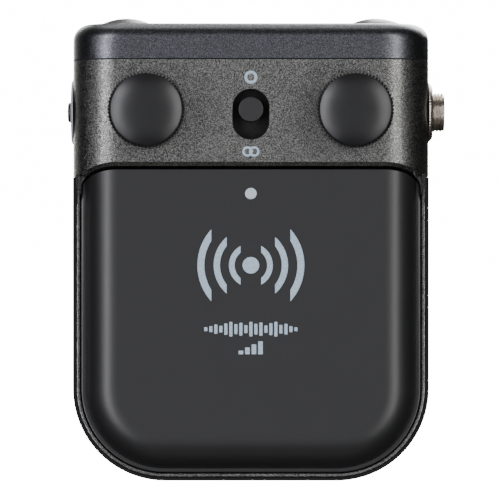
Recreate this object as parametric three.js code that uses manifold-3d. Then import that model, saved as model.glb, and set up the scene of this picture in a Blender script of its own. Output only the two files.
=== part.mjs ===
// A small body-worn wireless audio receiver with a belt clip, as an assembly of its real parts.
// Millimetres. The front faces -Y, +X is to the right as that face is looked at, +Z is up.
// The origin is the middle of the flat bottom of the case, half way through its depth.
import * as THREE from "three";
import { mergeVertices } from "three/addons/utils/BufferGeometryUtils.js";
import Module from "manifold-3d";

const wasm = await Module();
wasm.setup();

// ------------------------------------------------------------------ driving dimensions: case
const CASE_WIDTH = 54.0;
const CASE_HEIGHT = 69.2;
const CASE_DEPTH = 20.0;
const WALL = 1.6;
const FOOT_RADIUS = 14.0; // bottom corners, seen from the front
const HEAD_ROUND = 7.8; // front edges of the upper block
const HEAD_HOLLOW_ROUND = 5.4; // the same edges inside, clear of the volume pots
const COVER_ROUND = 5.6; // front edges of the cover
const REAR_ROUND = 4.2; // rear edges of the rear shell
const TOP_FILLET = 2.5;
const CAP_HEIGHT = 5.4;
const HEAD_HEIGHT = 15.4; // upper block, from the cap's seam to its front lip
const HEAD_SKIRT = 2.3; // how much lower the block runs at its sides
const SHELF_THICKNESS = 1.0; // closes the block behind its lip
const RIM_SETBACK = 5.4; // from the front face back to the frame's front edge
const RIM_INSET = 0.6; // from the rear shell's outline in to the frame
const RIM_WIDTH = 0.85;
const LEDGE_WIDTH = 1.3; // the step inside the frame that the cover sits on
const LEDGE_DEPTH = 1.0; // from the frame's front edge back to the step
const LEDGE_THICKNESS = 0.85;
const COVER_SETBACK = 0.8; // from the front face back to the cover's face
const COVER_WALL = 1.2;
const COVER_CORNER = 4.2; // upper corners of the cover, across
const COVER_CORNER_DROP = 3.0; // and down
const COVER_TOP_GAP = 1.0; // under the lip of the block
const SEAM = 0.1; // clearance between parts of the case

// ------------------------------------------------------------------ driving dimensions: controls
const CONTROL_DROP = 7.8; // from the cap's seam down to the knobs
const KNOB_SPACING = 31.2;
const KNOB_DIAMETER = 11.7;
const KNOB_HEIGHT = 5.6;
const KNOB_CROWN = 1.6; // height of the domed top
const KNOB_GAP = 0.4; // over the front face
const SHAFT_DIAMETER = 4.0;
const SHAFT_FLAT = 0.6; // depth of the flat on the shaft
const POT_SIZE = 9.5;
const POT_HEIGHT = 4.5;
const SLOT_WIDTH = 5.55;
const SLOT_HEIGHT = 7.66;
const SLOT_DROP = 8.4; // from the cap's seam down to the slot's middle
const SLIDER_DIAMETER = 3.8;
const SLIDER_TRAVEL = 1.5;
const SLIDER_SETBACK = 0.2; // of its crown, behind the front face
const SLIDER_CAN = { x: 4.2, y: 2.6, z: 9.0 };
const LIGHT_DIAMETER = 1.75;
const LIGHT_DROP = 4.9; // from the block's lip down to the status light
const RUN_GAP = 0.1; // radial clearance of pieces that move
const FIT_GAP = 0.03; // clearance of pieces that are pressed or screwed together

// ------------------------------------------------------------------ driving dimensions: sides, top
const JACK_DIAMETER = 6.0;
const JACK_BORE = 3.6;
const JACK_LENGTH = 2.5; // outside the case
const JACK_NUT_DIAMETER = 9.0;
const JACK_NUT_HEIGHT = 0.65;
const JACK_BODY_SIZE = 6.2;
const JACK_BODY_LENGTH = 11.6;
const BEZEL_DIAMETER = 9.8;
const BEZEL_HEIGHT = 0.35;
const POWER_DIAMETER = 3.05;
const POWER_HEIGHT = 0.95;
const TOP_BUTTON_INSET = 8.0; // from the side of the case
const TOP_BUTTON_DIAMETER = 8.0;
const TOP_BUTTON_DOME = 8.9; // radius of its dome
const TOP_BUTTON_EDGE = 0.15; // how far its rim stands out of the cap
const WINDOW_SPACING = 15.4;
const WINDOW_LENGTH = 5.5;
const WINDOW_WIDTH = 2.0;
const WINDOW_HEIGHT = 0.15;

// ------------------------------------------------------------------ driving dimensions: inside
const BOARD_THICKNESS = 1.2;
const BOARD_MARGIN = 0.4; // from the cover's inner wall
const SCREW_DIAMETER = 2.0;
const SCREW_HEAD = 3.6;
const SCREW_HEAD_HEIGHT = 1.3;
const POST_DIAMETER = 4.2;
const TOP_POST_SPACING = 15.2;
const TOP_POST_DROP = 3.2; // from the cap's seam
const FOOT_POST_INSET = 8.2; // from the side of the case
const FOOT_POST_HEIGHT = 7.6;
const SWITCH_SIZE = { x: 6.0, y: 5.0, z: 3.5 }; // a right-angle push switch, plunger along z
const PLUNGER_DIAMETER = 1.6;
const PLUNGER_REACH = 0.7;
const BATTERY_THICKNESS = 6.4;
const BATTERY_PAD = 0.5;
const BAY_GAP = 1.2; // round the battery
const SHIELD = { x: 17.0, y: 2.2, z: 13.0 };
const USB = { x: 7.3, y: 3.2, z: 9.0 };
const USB_HEIGHT = 30.0;

// ------------------------------------------------------------------ driving dimensions: belt clip
const CLIP_WIDTH = 18.0;
const CLIP_THICKNESS = 1.8;
const CLIP_GAP = 4.4; // the room for a belt
const CLIP_LENGTH = 38.4; // below its pin
const CLIP_TAB = 7.6; // above its pin
const CLIP_PIN_DROP = 18.8; // from the top of the case
const CLIP_PIN_DIAMETER = 1.6;
const BRACKET_THICKNESS = 1.4;
const BRACKET_LUG = 1.8;
const BRACKET_REACH = 7.6; // below the pin

// ------------------------------------------------------------------ levels worked out from them
const frontY = -CASE_DEPTH / 2;
const rearY = CASE_DEPTH / 2;
const sideX = CASE_WIDTH / 2;
const capSeamZ = CASE_HEIGHT - CAP_HEIGHT;
const lipZ = capSeamZ - HEAD_HEIGHT;
const skirtZ = lipZ - HEAD_SKIRT;
const seamY = rearY - REAR_ROUND - SEAM;
const rimY = frontY + RIM_SETBACK;
const ledgeY = rimY + LEDGE_DEPTH;
const frameRearY = ledgeY + LEDGE_THICKNESS;
const coverInset = RIM_INSET + RIM_WIDTH + SEAM;
const coverY = frontY + COVER_SETBACK;
const coverTopZ = lipZ - COVER_TOP_GAP;
const knobX = KNOB_SPACING / 2;
const controlZ = capSeamZ - CONTROL_DROP;
const slotZ = capSeamZ - SLOT_DROP;
const sliderZ = slotZ + SLIDER_TRAVEL / 2;
const lightZ = lipZ - LIGHT_DROP;
const headInnerY = frontY + WALL;
const boardY = headInnerY + POT_HEIGHT + FIT_GAP;
const boardRearY = boardY + BOARD_THICKNESS;
const sideAxisY = boardRearY + JACK_BODY_SIZE / 2 + SEAM;
const innerX = sideX - WALL;
const topButtonX = sideX - TOP_BUTTON_INSET;
const topButtonY = boardRearY + SWITCH_SIZE.y / 2 + FIT_GAP;
const topPost = { x: TOP_POST_SPACING / 2, z: capSeamZ - TOP_POST_DROP };
const footPost = { x: sideX - FOOT_POST_INSET, z: FOOT_POST_HEIGHT };
const boardInset = coverInset + COVER_WALL + BOARD_MARGIN;
const boardBottomZ = footPost.z + POST_DIAMETER / 2 + BAY_GAP;
const boardTopZ = capSeamZ + SEAM;
const pinZ = CASE_HEIGHT - CLIP_PIN_DROP;
const clipY = rearY + CLIP_GAP;
const pinY = clipY - CLIP_PIN_DIAMETER / 2 - 0.3;
const bracketBottomZ = pinZ - BRACKET_REACH;
const clipScrew = { x: 5.0, z: bracketBottomZ + 2.6 };
const batteryBottomZ = boardBottomZ;
const batteryTopZ = clipScrew.z - POST_DIAMETER / 2 - BAY_GAP;
const batteryRearY = rearY - WALL - BATTERY_PAD - FIT_GAP;
const batteryHalfWidth = innerX - USB.x - BAY_GAP;
const AROUND = 24; // sides of a round piece
const FAR = 300; // past every face, for cutting

// ------------------------------------------------------------------ finishes
const FINISH = {
  speckled: [0x545454, 0.45, 0.35],
  speckledBlue: [0x4f5055, 0.45, 0.35],
  satin: [0x3a3a3e, 0.5, 0.0],
  black: [0x141416, 0.55, 0.0],
  rubber: [0x2b2c30, 0.7, 0.0],
  nickel: [0xb6aea0, 0.25, 1.0],
  steel: [0x9fa2a6, 0.3, 1.0],
  diffuser: [0xb4c0cc, 0.35, 0.0],
  board: [0x14512f, 0.5, 0.0],
  foil: [0xb9bcc0, 0.4, 0.6],
  foam: [0x2c2c2c, 0.95, 0.0],
  white: [0xdcdad2, 0.5, 0.0],
};

const receiver = new THREE.Group();

/** Adds one named piece, in its own material, to the assembly. */
function addPart(name, shape, finish) {
  const geometry = shape.isBufferGeometry ? shape : surfaceOf(shape);
  const [color, roughness, metalness] = FINISH[finish];
  const material = new THREE.MeshStandardMaterial({ color, roughness, metalness });
  const mesh = new THREE.Mesh(geometry, material);
  mesh.name = name;
  receiver.add(mesh);
}

/** A three.js geometry as a solid that can be joined and cut. */
function solidOf(geometry) {
  const bare = geometry.clone();
  bare.deleteAttribute("normal");
  bare.deleteAttribute("uv");
  const merged = mergeVertices(bare, 1e-5);
  const vertProperties = new Float32Array(merged.attributes.position.array);
  const triVerts = new Uint32Array(merged.index.array);
  return new wasm.Manifold(new wasm.Mesh({ numProp: 3, vertProperties, triVerts }));
}

/** A solid back as a three.js geometry. */
function surfaceOf(solid) {
  const mesh = solid.getMesh();
  const geometry = new THREE.BufferGeometry();
  geometry.setAttribute("position", new THREE.BufferAttribute(mesh.vertProperties.slice(), 3));
  geometry.setIndex(new THREE.BufferAttribute(mesh.triVerts.slice(), 1));
  geometry.computeVertexNormals();
  return geometry;
}

/** A block between two values on each axis. */
function block([x0, x1], [y0, y1], [z0, z1]) {
  const box = new THREE.BoxGeometry(x1 - x0, y1 - y0, z1 - z0);
  return solidOf(box.translate((x0 + x1) / 2, (y0 + y1) / 2, (z0 + z1) / 2));
}

/** Turns a geometry made along +Y so that it runs along the named axis. */
function alongAxis(geometry, axis) {
  if (axis === "x") geometry.rotateZ(-Math.PI / 2);
  if (axis === "z") geometry.rotateX(Math.PI / 2);
  return geometry;
}

/** A round bar or, with two radii, a cone: from one value to another along an axis. */
function rod(axis, radius, [from, to], centre, endRadius = radius, sides = AROUND) {
  const bar = new THREE.CylinderGeometry(endRadius, radius, to - from, sides);
  alongAxis(bar, axis);
  const at = { x: 0, y: 0, z: 0, ...centre };
  at[axis] = (from + to) / 2;
  return solidOf(bar.translate(at.x, at.y, at.z));
}

/** A shape drawn in front view (x across, y up), as a plate between two depths. */
function frontPlate(shape, [y0, y1], steps = 5) {
  const plate = new THREE.ExtrudeGeometry(shape, {
    depth: y1 - y0, bevelEnabled: false, curveSegments: steps,
  });
  return solidOf(plate.rotateX(Math.PI / 2).translate(0, y1, 0));
}

/** A shape drawn in plan (x across, y back), as a plate between two heights. */
function planPlate(shape, [z0, z1], steps = 5) {
  const plate = new THREE.ExtrudeGeometry(shape, {
    depth: z1 - z0, bevelEnabled: false, curveSegments: steps,
  });
  return solidOf(plate.translate(0, 0, z0));
}

/** A shape drawn in side view (x is depth, y is height), as a plate between two values of X. */
function sidePlate(shape, [x0, x1], steps = 5) {
  const plate = new THREE.ExtrudeGeometry(shape, {
    depth: x1 - x0, bevelEnabled: false, curveSegments: steps,
  });
  return solidOf(plate.rotateX(Math.PI / 2).rotateZ(Math.PI / 2).translate(x0, 0, 0));
}

/** The case in front view, drawn in from its outline by an inset, and open-topped. */
function caseOutline(inset) {
  const x = sideX - inset;
  const radius = FOOT_RADIUS - inset;
  const outline = new THREE.Shape();
  outline.moveTo(-x, FAR / 3);
  outline.lineTo(-x, FOOT_RADIUS);
  outline.absarc(-x + radius, FOOT_RADIUS, radius, Math.PI, 1.5 * Math.PI, false);
  outline.absarc(x - radius, FOOT_RADIUS, radius, 1.5 * Math.PI, 2 * Math.PI, false);
  outline.lineTo(x, FAR / 3);
  return outline;
}

/** The case's outline as a slab whose edges round over at both of its ends. */
function roundedSlab(inset, round, [y0, y1]) {
  const slab = new THREE.ExtrudeGeometry(caseOutline(inset), {
    depth: y1 - y0 - 2 * round,
    bevelThickness: round,
    bevelSize: round,
    bevelOffset: -round,
    bevelSegments: 5,
    curveSegments: 5,
  });
  return solidOf(slab.rotateX(Math.PI / 2).translate(0, y1 - round, 0));
}

/** A slab that rounds over at the front only, cut off flat behind. */
function frontShell(inset, round, frontFace, rearFace) {
  const slab = roundedSlab(inset, round, [frontFace, rearFace + FAR / 3]);
  return slab.intersect(block([-FAR, FAR], [-FAR, rearFace], [-FAR, FAR]));
}

/** A slab that rounds over at the rear only, cut off flat in front. */
function rearHalf(inset, round, frontFace, rearFace) {
  const slab = roundedSlab(inset, round, [frontFace - FAR / 3, rearFace]);
  return slab.intersect(block([-FAR, FAR], [frontFace, FAR], [-FAR, FAR]));
}

/** A band of heights, for cutting a piece to length. */
function between(z0, z1) {
  return block([-FAR, FAR], [-FAR, FAR], [z0, z1]);
}

/** An upright slot with round ends, in front view. */
function slotShape(x, z, width, height) {
  const radius = width / 2;
  const reach = height / 2 - radius;
  const slot = new THREE.Shape();
  slot.absarc(x, z + reach, radius, 0, Math.PI, false);
  slot.absarc(x, z - reach, radius, Math.PI, 2 * Math.PI, false);
  return slot;
}

/** The opening that the cover fills, in front view: square below, with eased upper corners. */
function coverWindow(gap) {
  const x = sideX - coverInset + SEAM - gap;
  const top = lipZ - gap;
  const window = new THREE.Shape();
  window.moveTo(-x, -FAR / 3);
  window.lineTo(x, -FAR / 3);
  window.lineTo(x, top - COVER_CORNER_DROP);
  window.bezierCurveTo(
    x, top - COVER_CORNER_DROP / 3, x - COVER_CORNER / 3, top, x - COVER_CORNER, top);
  window.lineTo(-x + COVER_CORNER, top);
  window.bezierCurveTo(
    -x + COVER_CORNER / 3, top, -x, top - COVER_CORNER_DROP / 3, -x, top - COVER_CORNER_DROP);
  window.closePath();
  return window;
}

/** A rectangle with round corners, drawn in plan about a centre. */
function roundedRectangle(cx, cy, width, depth, radius) {
  const [x, y] = [width / 2, depth / 2];
  const shape = new THREE.Shape();
  shape.absarc(cx + x - radius, cy + y - radius, radius, 0, Math.PI / 2, false);
  shape.absarc(cx - x + radius, cy + y - radius, radius, Math.PI / 2, Math.PI, false);
  shape.absarc(cx - x + radius, cy - y + radius, radius, Math.PI, 1.5 * Math.PI, false);
  shape.absarc(cx + x - radius, cy - y + radius, radius, 1.5 * Math.PI, 2 * Math.PI, false);
  return shape;
}

/** The four holes or posts for the case screws, as [x, z]. */
function screwPlaces() {
  return [
    [-topPost.x, topPost.z],
    [topPost.x, topPost.z],
    [-footPost.x, footPost.z],
    [footPost.x, footPost.z],
  ];
}

// ------------------------------------------------------------------ case

/** Black rear half: a dish behind the head, and a deeper tray below it. */
function rearShell() {
  const tray = rearHalf(0, REAR_ROUND, rimY + RIM_INSET, rearY).intersect(between(-1, skirtZ - SEAM));
  const dish = rearHalf(0, REAR_ROUND, seamY + SEAM, rearY)
    .intersect(between(skirtZ - 1, capSeamZ - SEAM));
  const hollow = rearHalf(WALL, REAR_ROUND - WALL, -FAR / 3, rearY - WALL);
  const rabbet = frontPlate(caseOutline(RIM_INSET - SEAM), [-FAR, frameRearY + SEAM]);
  const postLength = [frameRearY + SEAM, rearY - WALL / 2];
  let shell = tray.add(dish).subtract(hollow).subtract(rabbet);
  for (const [x, z] of screwPlaces()) {
    const postFront = z > skirtZ ? seamY + SEAM : postLength[0];
    shell = shell.add(rod("y", POST_DIAMETER / 2, [postFront, postLength[1]], { x, z }));
    const headFront = rearY - SCREW_HEAD_HEIGHT - SEAM;
    shell = shell.subtract(rod("y", SCREW_DIAMETER / 2 + RUN_GAP, [-FAR, FAR], { x, z }));
    shell = shell.subtract(rod("y", SCREW_HEAD / 2 + RUN_GAP, [headFront, FAR], { x, z }));
  }
  for (const x of [-clipScrew.x, clipScrew.x]) {
    const at = { x, z: clipScrew.z };
    shell = shell.add(rod("y", POST_DIAMETER / 2, [rearY - WALL - 2.4, rearY - WALL / 2], at));
    shell = shell.subtract(rod("y", SCREW_DIAMETER / 2 + FIT_GAP, [-FAR, FAR], at));
  }
  const port = usbOpening(0.15);
  return shell.subtract(port);
}

/** The charging port's mouth through the right wall, grown by a gap. */
function usbOpening(gap) {
  const y0 = boardRearY + FIT_GAP - gap;
  return block(
    [innerX - 1, FAR],
    [y0, y0 + USB.y + 2 * gap],
    [USB_HEIGHT - USB.z / 2 - gap, USB_HEIGHT + USB.z / 2 + gap]);
}

/** Speckled upper block, with the thin frame that runs down round the cover. */
function frontHousing() {
  const upper = between(skirtZ, capSeamZ - SEAM);
  const blank = frontShell(0, HEAD_ROUND, frontY, seamY).intersect(upper);
  const hollow = frontShell(WALL, HEAD_HOLLOW_ROUND, headInnerY, FAR / 4);
  const shelf = block([-FAR, FAR], [-FAR, boardY - SEAM], [-1, lipZ + SHELF_THICKNESS]);
  let housing = blank.subtract(hollow.subtract(shelf));
  housing = housing.subtract(frontPlate(coverWindow(0), [-FAR, ledgeY]));
  housing = housing.subtract(block([-FAR, FAR], [frameRearY + 2, FAR], [-1, skirtZ]));
  housing = housing.add(coverFrame());
  for (const [x, z] of screwPlaces()) {
    const at = { x, z };
    if (z > skirtZ) {
      housing = housing.add(rod("y", POST_DIAMETER / 2 - 0.1, [headInnerY - 0.5, seamY], at));
    }
    housing = housing.subtract(rod("y", SCREW_DIAMETER / 2 + FIT_GAP, [headInnerY + 1.0, FAR], at));
  }
  return cutControls(housing);
}

/** The frame itself: an upright edge, the ledge behind the cover and two screw lugs. */
function coverFrame() {
  const outer = frontPlate(caseOutline(RIM_INSET), [rimY, frameRearY]);
  const inner = frontPlate(caseOutline(coverInset - SEAM + LEDGE_WIDTH), [-FAR, FAR]);
  const seat = frontPlate(caseOutline(coverInset - SEAM), [-FAR, ledgeY]);
  let frame = outer.subtract(inner);
  for (const x of [-footPost.x, footPost.x]) {
    const at = { x, z: footPost.z };
    frame = frame.add(rod("y", POST_DIAMETER / 2, [ledgeY - 1.6, frameRearY], at));
    const arm = block([Math.min(x, x * 1.2), Math.max(x, x * 1.2)], [ledgeY, frameRearY],
      [footPost.z - 1.2, footPost.z + 1.2]);
    frame = frame.add(arm.intersect(outer));
  }
  const lugs = frame.intersect(inner);
  return frame.subtract(seat).add(lugs).intersect(between(-1, skirtZ + 1));
}

/** Holes in the block for the knob shafts, the mode slot, the jack and the power button. */
function cutControls(housing) {
  let cut = housing;
  for (const x of [-knobX, knobX]) {
    cut = cut.subtract(rod("y", SHAFT_DIAMETER / 2 + 0.3, [-FAR, 0], { x, z: controlZ }));
  }
  cut = cut.subtract(frontPlate(slotShape(0, slotZ, SLOT_WIDTH, SLOT_HEIGHT), [-FAR, 0]));
  const side = { y: sideAxisY, z: controlZ };
  cut = cut.subtract(rod("x", JACK_DIAMETER / 2 + FIT_GAP, [sideX - 5, FAR], side));
  return cut.subtract(rod("x", bezelNeckRadius + FIT_GAP, [-FAR, 5 - sideX], side));
}

/** Smooth cover in the frame, hollow behind, with a hole for the status light. */
function frontCover() {
  const outer = frontShell(coverInset, COVER_ROUND, coverY, ledgeY - SEAM / 2);
  const inner = frontShell(coverInset + COVER_WALL, COVER_ROUND - COVER_WALL, coverY + COVER_WALL, FAR / 4);
  const insideX = sideX - coverInset - COVER_WALL;
  const boardRoom = block([-insideX, insideX], [boardY - SEAM, FAR], [skirtZ - COVER_WALL, FAR]);
  const cavity = inner.intersect(between(-1, coverTopZ - COVER_WALL)).add(boardRoom);
  const outline = frontPlate(coverWindow(COVER_TOP_GAP), [-FAR, FAR]).add(
    between(-1, coverTopZ - COVER_CORNER_DROP));
  const cover = outer.subtract(cavity).intersect(outline);
  return cover.subtract(rod("y", LIGHT_DIAMETER / 2 + FIT_GAP, [-FAR, FAR], { z: lightZ }));
}

/** The head's plan: rounder at its front corners than at its rear ones. */
function headPlan(inset) {
  const [x, front, rear] = [sideX - inset, HEAD_ROUND - inset, REAR_ROUND - inset];
  const [y0, y1] = [frontY + inset, rearY - inset];
  const plan = new THREE.Shape();
  plan.absarc(-x + front, y0 + front, front, Math.PI, 1.5 * Math.PI, false);
  plan.absarc(x - front, y0 + front, front, 1.5 * Math.PI, 2 * Math.PI, false);
  plan.absarc(x - rear, y1 - rear, rear, 0, Math.PI / 2, false);
  plan.absarc(-x + rear, y1 - rear, rear, Math.PI / 2, Math.PI, false);
  return plan;
}

/** Speckled cap over the whole depth of the case, with its buttons' and windows' holes. */
function topCap() {
  const crown = new THREE.ExtrudeGeometry(headPlan(0), {
    depth: CAP_HEIGHT,
    bevelThickness: TOP_FILLET,
    bevelSize: TOP_FILLET,
    bevelOffset: -TOP_FILLET,
    bevelSegments: 4,
    curveSegments: 3,
  });
  const outer = solidOf(crown.translate(0, 0, CASE_HEIGHT - TOP_FILLET - CAP_HEIGHT))
    .intersect(between(capSeamZ, FAR));
  const hollow = planPlate(headPlan(WALL), [-FAR, CASE_HEIGHT - WALL], 3);
  let cap = outer.subtract(hollow);
  for (const side of [-1, 1]) {
    const at = { x: side * topButtonX, y: topButtonY };
    const hole = TOP_BUTTON_DIAMETER / 2 + RUN_GAP;
    cap = cap.subtract(rod("z", hole, [0, FAR], at));
    cap = cap.subtract(planPlate(windowShape(side, FIT_GAP), [0, FAR], 2));
  }
  return cap;
}

/** One of the two light windows in the cap, in plan, grown by a gap. */
function windowShape(side, gap) {
  return roundedRectangle(side * WINDOW_SPACING / 2, boardRearY + 0.6,
    WINDOW_LENGTH + 2 * gap, WINDOW_WIDTH + 2 * gap, WINDOW_WIDTH / 2 + gap - 0.05);
}

// ------------------------------------------------------------------ knobs

/** A turned piece about an axis along -Y: the profile gives [radius, height over a base]. */
function turned(profile, x, baseY, z, sides = 28) {
  const points = profile.map(([radius, height]) => new THREE.Vector2(radius, height));
  const lathe = new THREE.LatheGeometry(points, sides);
  return solidOf(lathe.rotateX(Math.PI).translate(x, baseY, z));
}

/** Domed knob with a wider skirt, bored for its shaft. */
function volumeKnob(x) {
  const [r, h] = [KNOB_DIAMETER / 2, KNOB_HEIGHT];
  const steps = 5;
  const rise = Array.from({ length: steps + 1 }, (_, i) => {
    const turn = (i / steps) * (Math.PI / 2);
    return [(r - 0.7) * Math.cos(turn) ** 0.7, h - KNOB_CROWN + KNOB_CROWN * Math.sin(turn)];
  });
  rise[steps][0] = 0;
  const profile = [[0, 0], [r - 0.3, 0], [r, 0.3], [r, 1.5], [r - 0.45, 2.0]];
  const knob = turned([...profile, ...rise], x, frontY - KNOB_GAP, controlZ);
  return knob.subtract(shaftBar(x, FIT_GAP, [frontY - KNOB_HEIGHT + 1.6, 0]));
}

/** The flatted bar that turns the wiper, grown by a gap. */
function shaftBar(x, gap, [from, to]) {
  const bar = rod("y", SHAFT_DIAMETER / 2 + gap, [from, to], { x, z: controlZ });
  const flat = controlZ - SHAFT_DIAMETER / 2 + SHAFT_FLAT - gap;
  return bar.subtract(block([x - 5, x + 5], [-FAR, 0], [flat - 5, flat]));
}

/** Shaft of a volume control: a round foot in the pot, a flatted end in the knob. */
function potShaft(x) {
  const tip = frontY - KNOB_HEIGHT + 1.7;
  const end = shaftBar(x, 0, [tip, frontY]);
  const neck = rod("y", SHAFT_DIAMETER / 2, [frontY, boardY - 2.2], { x, z: controlZ });
  const wiper = rod("y", SHAFT_DIAMETER / 2 + 0.9, [boardY - 2.2, boardY - 1.2], { x, z: controlZ });
  return end.add(neck).add(wiper);
}

/** Square body of a volume control, open in front for its shaft, with three legs. */
function potBody(x) {
  const half = POT_SIZE / 2;
  const at = { x, z: controlZ };
  let body = block([x - half, x + half], [headInnerY + SEAM, boardY - FIT_GAP],
    [controlZ - half, controlZ + half]);
  body = body.subtract(rod("y", SHAFT_DIAMETER / 2 + RUN_GAP, [-FAR, boardY - 1.0], at));
  return body.subtract(
    rod("y", SHAFT_DIAMETER / 2 + 0.9 + RUN_GAP, [boardY - 2.4, boardY - 1.0], at));
}

// ------------------------------------------------------------------ mode slider

/** Round thumb piece on a flag that keeps the slot closed, with its stem behind. */
function modeSlider() {
  const at = { z: sliderZ };
  const flagY = [headInnerY + RUN_GAP, headInnerY + RUN_GAP + 0.6];
  const reach = SLOT_HEIGHT / 2 + SLIDER_TRAVEL / 2 + 0.3;
  const crown = frontY + SLIDER_SETBACK;
  const cap = rod("y", SLIDER_DIAMETER / 2, [crown + 0.4, flagY[1]], at);
  const ease = rod("y", SLIDER_DIAMETER / 2 - 0.4, [crown, crown + 0.4], at, SLIDER_DIAMETER / 2);
  const flagWidth = SLOT_WIDTH / 2 + 0.6;
  const flag = block([-flagWidth, flagWidth], flagY, [sliderZ - reach, sliderZ + reach]);
  const stem = block([-0.7, 0.7], [flagY[0], boardY - 1.4], [sliderZ - 0.8, sliderZ + 0.8]);
  return cap.add(ease).add(flag).add(stem);
}

/** Steel can of the slide switch, with the opening that the stem runs in. */
function modeSwitchCan() {
  const { x, y, z } = SLIDER_CAN;
  const front = boardY - FIT_GAP - y;
  const can = block([-x / 2, x / 2], [front, boardY - FIT_GAP], [slotZ - z / 2, slotZ + z / 2]);
  const run = SLIDER_TRAVEL / 2 + 0.8 + 0.3;
  const opening = block([-1.1, 1.1], [front - 1, boardY - 0.9], [slotZ - run, slotZ + run]);
  return can.subtract(opening);
}

// ------------------------------------------------------------------ buttons and their switches

const bezelNeckRadius = POWER_DIAMETER / 2 + 1.1;

/** Ring round the power button, with a neck through the wall. */
function powerButtonBezel() {
  const at = { y: sideAxisY, z: controlZ };
  const face = -sideX - BEZEL_HEIGHT;
  const flange = rod("x", BEZEL_DIAMETER / 2 - 0.2, [face, -sideX], at, BEZEL_DIAMETER / 2);
  const neck = rod("x", bezelNeckRadius, [-sideX - 0.1, -sideX + WALL + 0.4], at);
  return flange.add(neck).subtract(rod("x", POWER_DIAMETER / 2 + RUN_GAP, [-FAR, 0], at));
}

/** Power button: its crown outside, a collar inside that keeps it in. */
function powerButton() {
  const at = { y: sideAxisY, z: controlZ };
  const collar = -sideX + WALL + 0.5;
  const stem = rod("x", POWER_DIAMETER / 2, [-sideX - POWER_HEIGHT + 0.2, collar], at);
  const crown = rod("x", POWER_DIAMETER / 2 - 0.2,
    [-sideX - POWER_HEIGHT, -sideX - POWER_HEIGHT + 0.2], at, POWER_DIAMETER / 2);
  const flange = rod("x", POWER_DIAMETER / 2 + 0.7, [collar, collar + 0.6], at);
  return stem.add(crown).add(flange);
}

/** Where the power button ends inside, and so where its switch's plunger starts. */
const powerPushX = -sideX + WALL + 1.1;

/** Right-angle push switch on the board, its plunger pointing left. */
function powerSwitch() {
  const face = powerPushX + PLUNGER_REACH;
  const half = SWITCH_SIZE.x / 2;
  const body = block([face, face + SWITCH_SIZE.z],
    [boardRearY + FIT_GAP, boardRearY + FIT_GAP + JACK_BODY_SIZE], [controlZ - half, controlZ + half]);
  const bore = rod("x", PLUNGER_DIAMETER / 2 + RUN_GAP, [face - 1, face + 1.4],
    { y: sideAxisY, z: controlZ });
  return body.subtract(bore);
}

/** Plunger of the power switch. */
function powerSwitchPlunger() {
  return rod("x", PLUNGER_DIAMETER / 2, [powerPushX + FIT_GAP, powerPushX + PLUNGER_REACH + 1.0],
    { y: sideAxisY, z: controlZ });
}

const topSwitchTopZ = capSeamZ - 1.0;
const topPushZ = topSwitchTopZ + PLUNGER_REACH;

/** Right-angle push switch at the board's top edge, its plunger pointing up. */
function topSwitch(side) {
  const x = side * topButtonX;
  const { x: width, y: depth, z: height } = SWITCH_SIZE;
  const body = block([x - width / 2, x + width / 2],
    [boardRearY + FIT_GAP, boardRearY + FIT_GAP + depth], [topSwitchTopZ - height, topSwitchTopZ]);
  const bore = rod("z", PLUNGER_DIAMETER / 2 + RUN_GAP, [topSwitchTopZ - 1.4, topSwitchTopZ + 1],
    { x, y: topButtonY });
  return body.subtract(bore);
}

/** Plunger of a top switch. */
function topSwitchPlunger(side) {
  return rod("z", PLUNGER_DIAMETER / 2, [topSwitchTopZ - 1.0, topPushZ - FIT_GAP],
    { x: side * topButtonX, y: topButtonY });
}

/** Low domed button in the cap, with a collar under it and a stem down to its switch. */
function topButton(side) {
  const radius = TOP_BUTTON_DIAMETER / 2;
  const rim = CASE_HEIGHT + TOP_BUTTON_EDGE;
  const collar = CASE_HEIGHT - WALL - RUN_GAP;
  const spread = Math.asin(radius / TOP_BUTTON_DOME);
  const dome = Array.from({ length: 6 }, (_, i) => {
    const turn = spread * (1 - i / 5);
    const height = TOP_BUTTON_DOME * (Math.cos(turn) - Math.cos(spread));
    return [TOP_BUTTON_DOME * Math.sin(turn), rim + height];
  });
  dome[5][0] = 0;
  const profile = [[0, topPushZ], [1.4, topPushZ], [1.4, collar - 0.7], [radius + 0.6, collar - 0.7],
    [radius + 0.6, collar], [radius, collar], ...dome];
  const points = profile.map(([r, z]) => new THREE.Vector2(r, z));
  const button = new THREE.LatheGeometry(points, 24).rotateX(Math.PI / 2);
  return solidOf(button.translate(side * topButtonX, topButtonY, 0));
}

// ------------------------------------------------------------------ jack

const jackAt = { y: sideAxisY, z: controlZ };

/** Threaded bushing through the right wall. */
function jackBushing() {
  const tip = sideX + JACK_LENGTH;
  const tube = rod("x", JACK_DIAMETER / 2, [innerX + FIT_GAP, tip - 0.3], jackAt);
  const lead = rod("x", JACK_DIAMETER / 2, [tip - 0.3, tip], jackAt, JACK_DIAMETER / 2 - 0.3);
  return tube.add(lead).subtract(rod("x", JACK_BORE / 2, [0, FAR], jackAt));
}

/** Low conical nut outside the wall. */
function jackNut() {
  const face = sideX + FIT_GAP;
  const nut = rod("x", JACK_NUT_DIAMETER / 2, [face, face + JACK_NUT_HEIGHT], jackAt,
    JACK_NUT_DIAMETER / 2 - 0.5);
  return nut.subtract(rod("x", JACK_DIAMETER / 2 + FIT_GAP, [0, FAR], jackAt));
}

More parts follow.
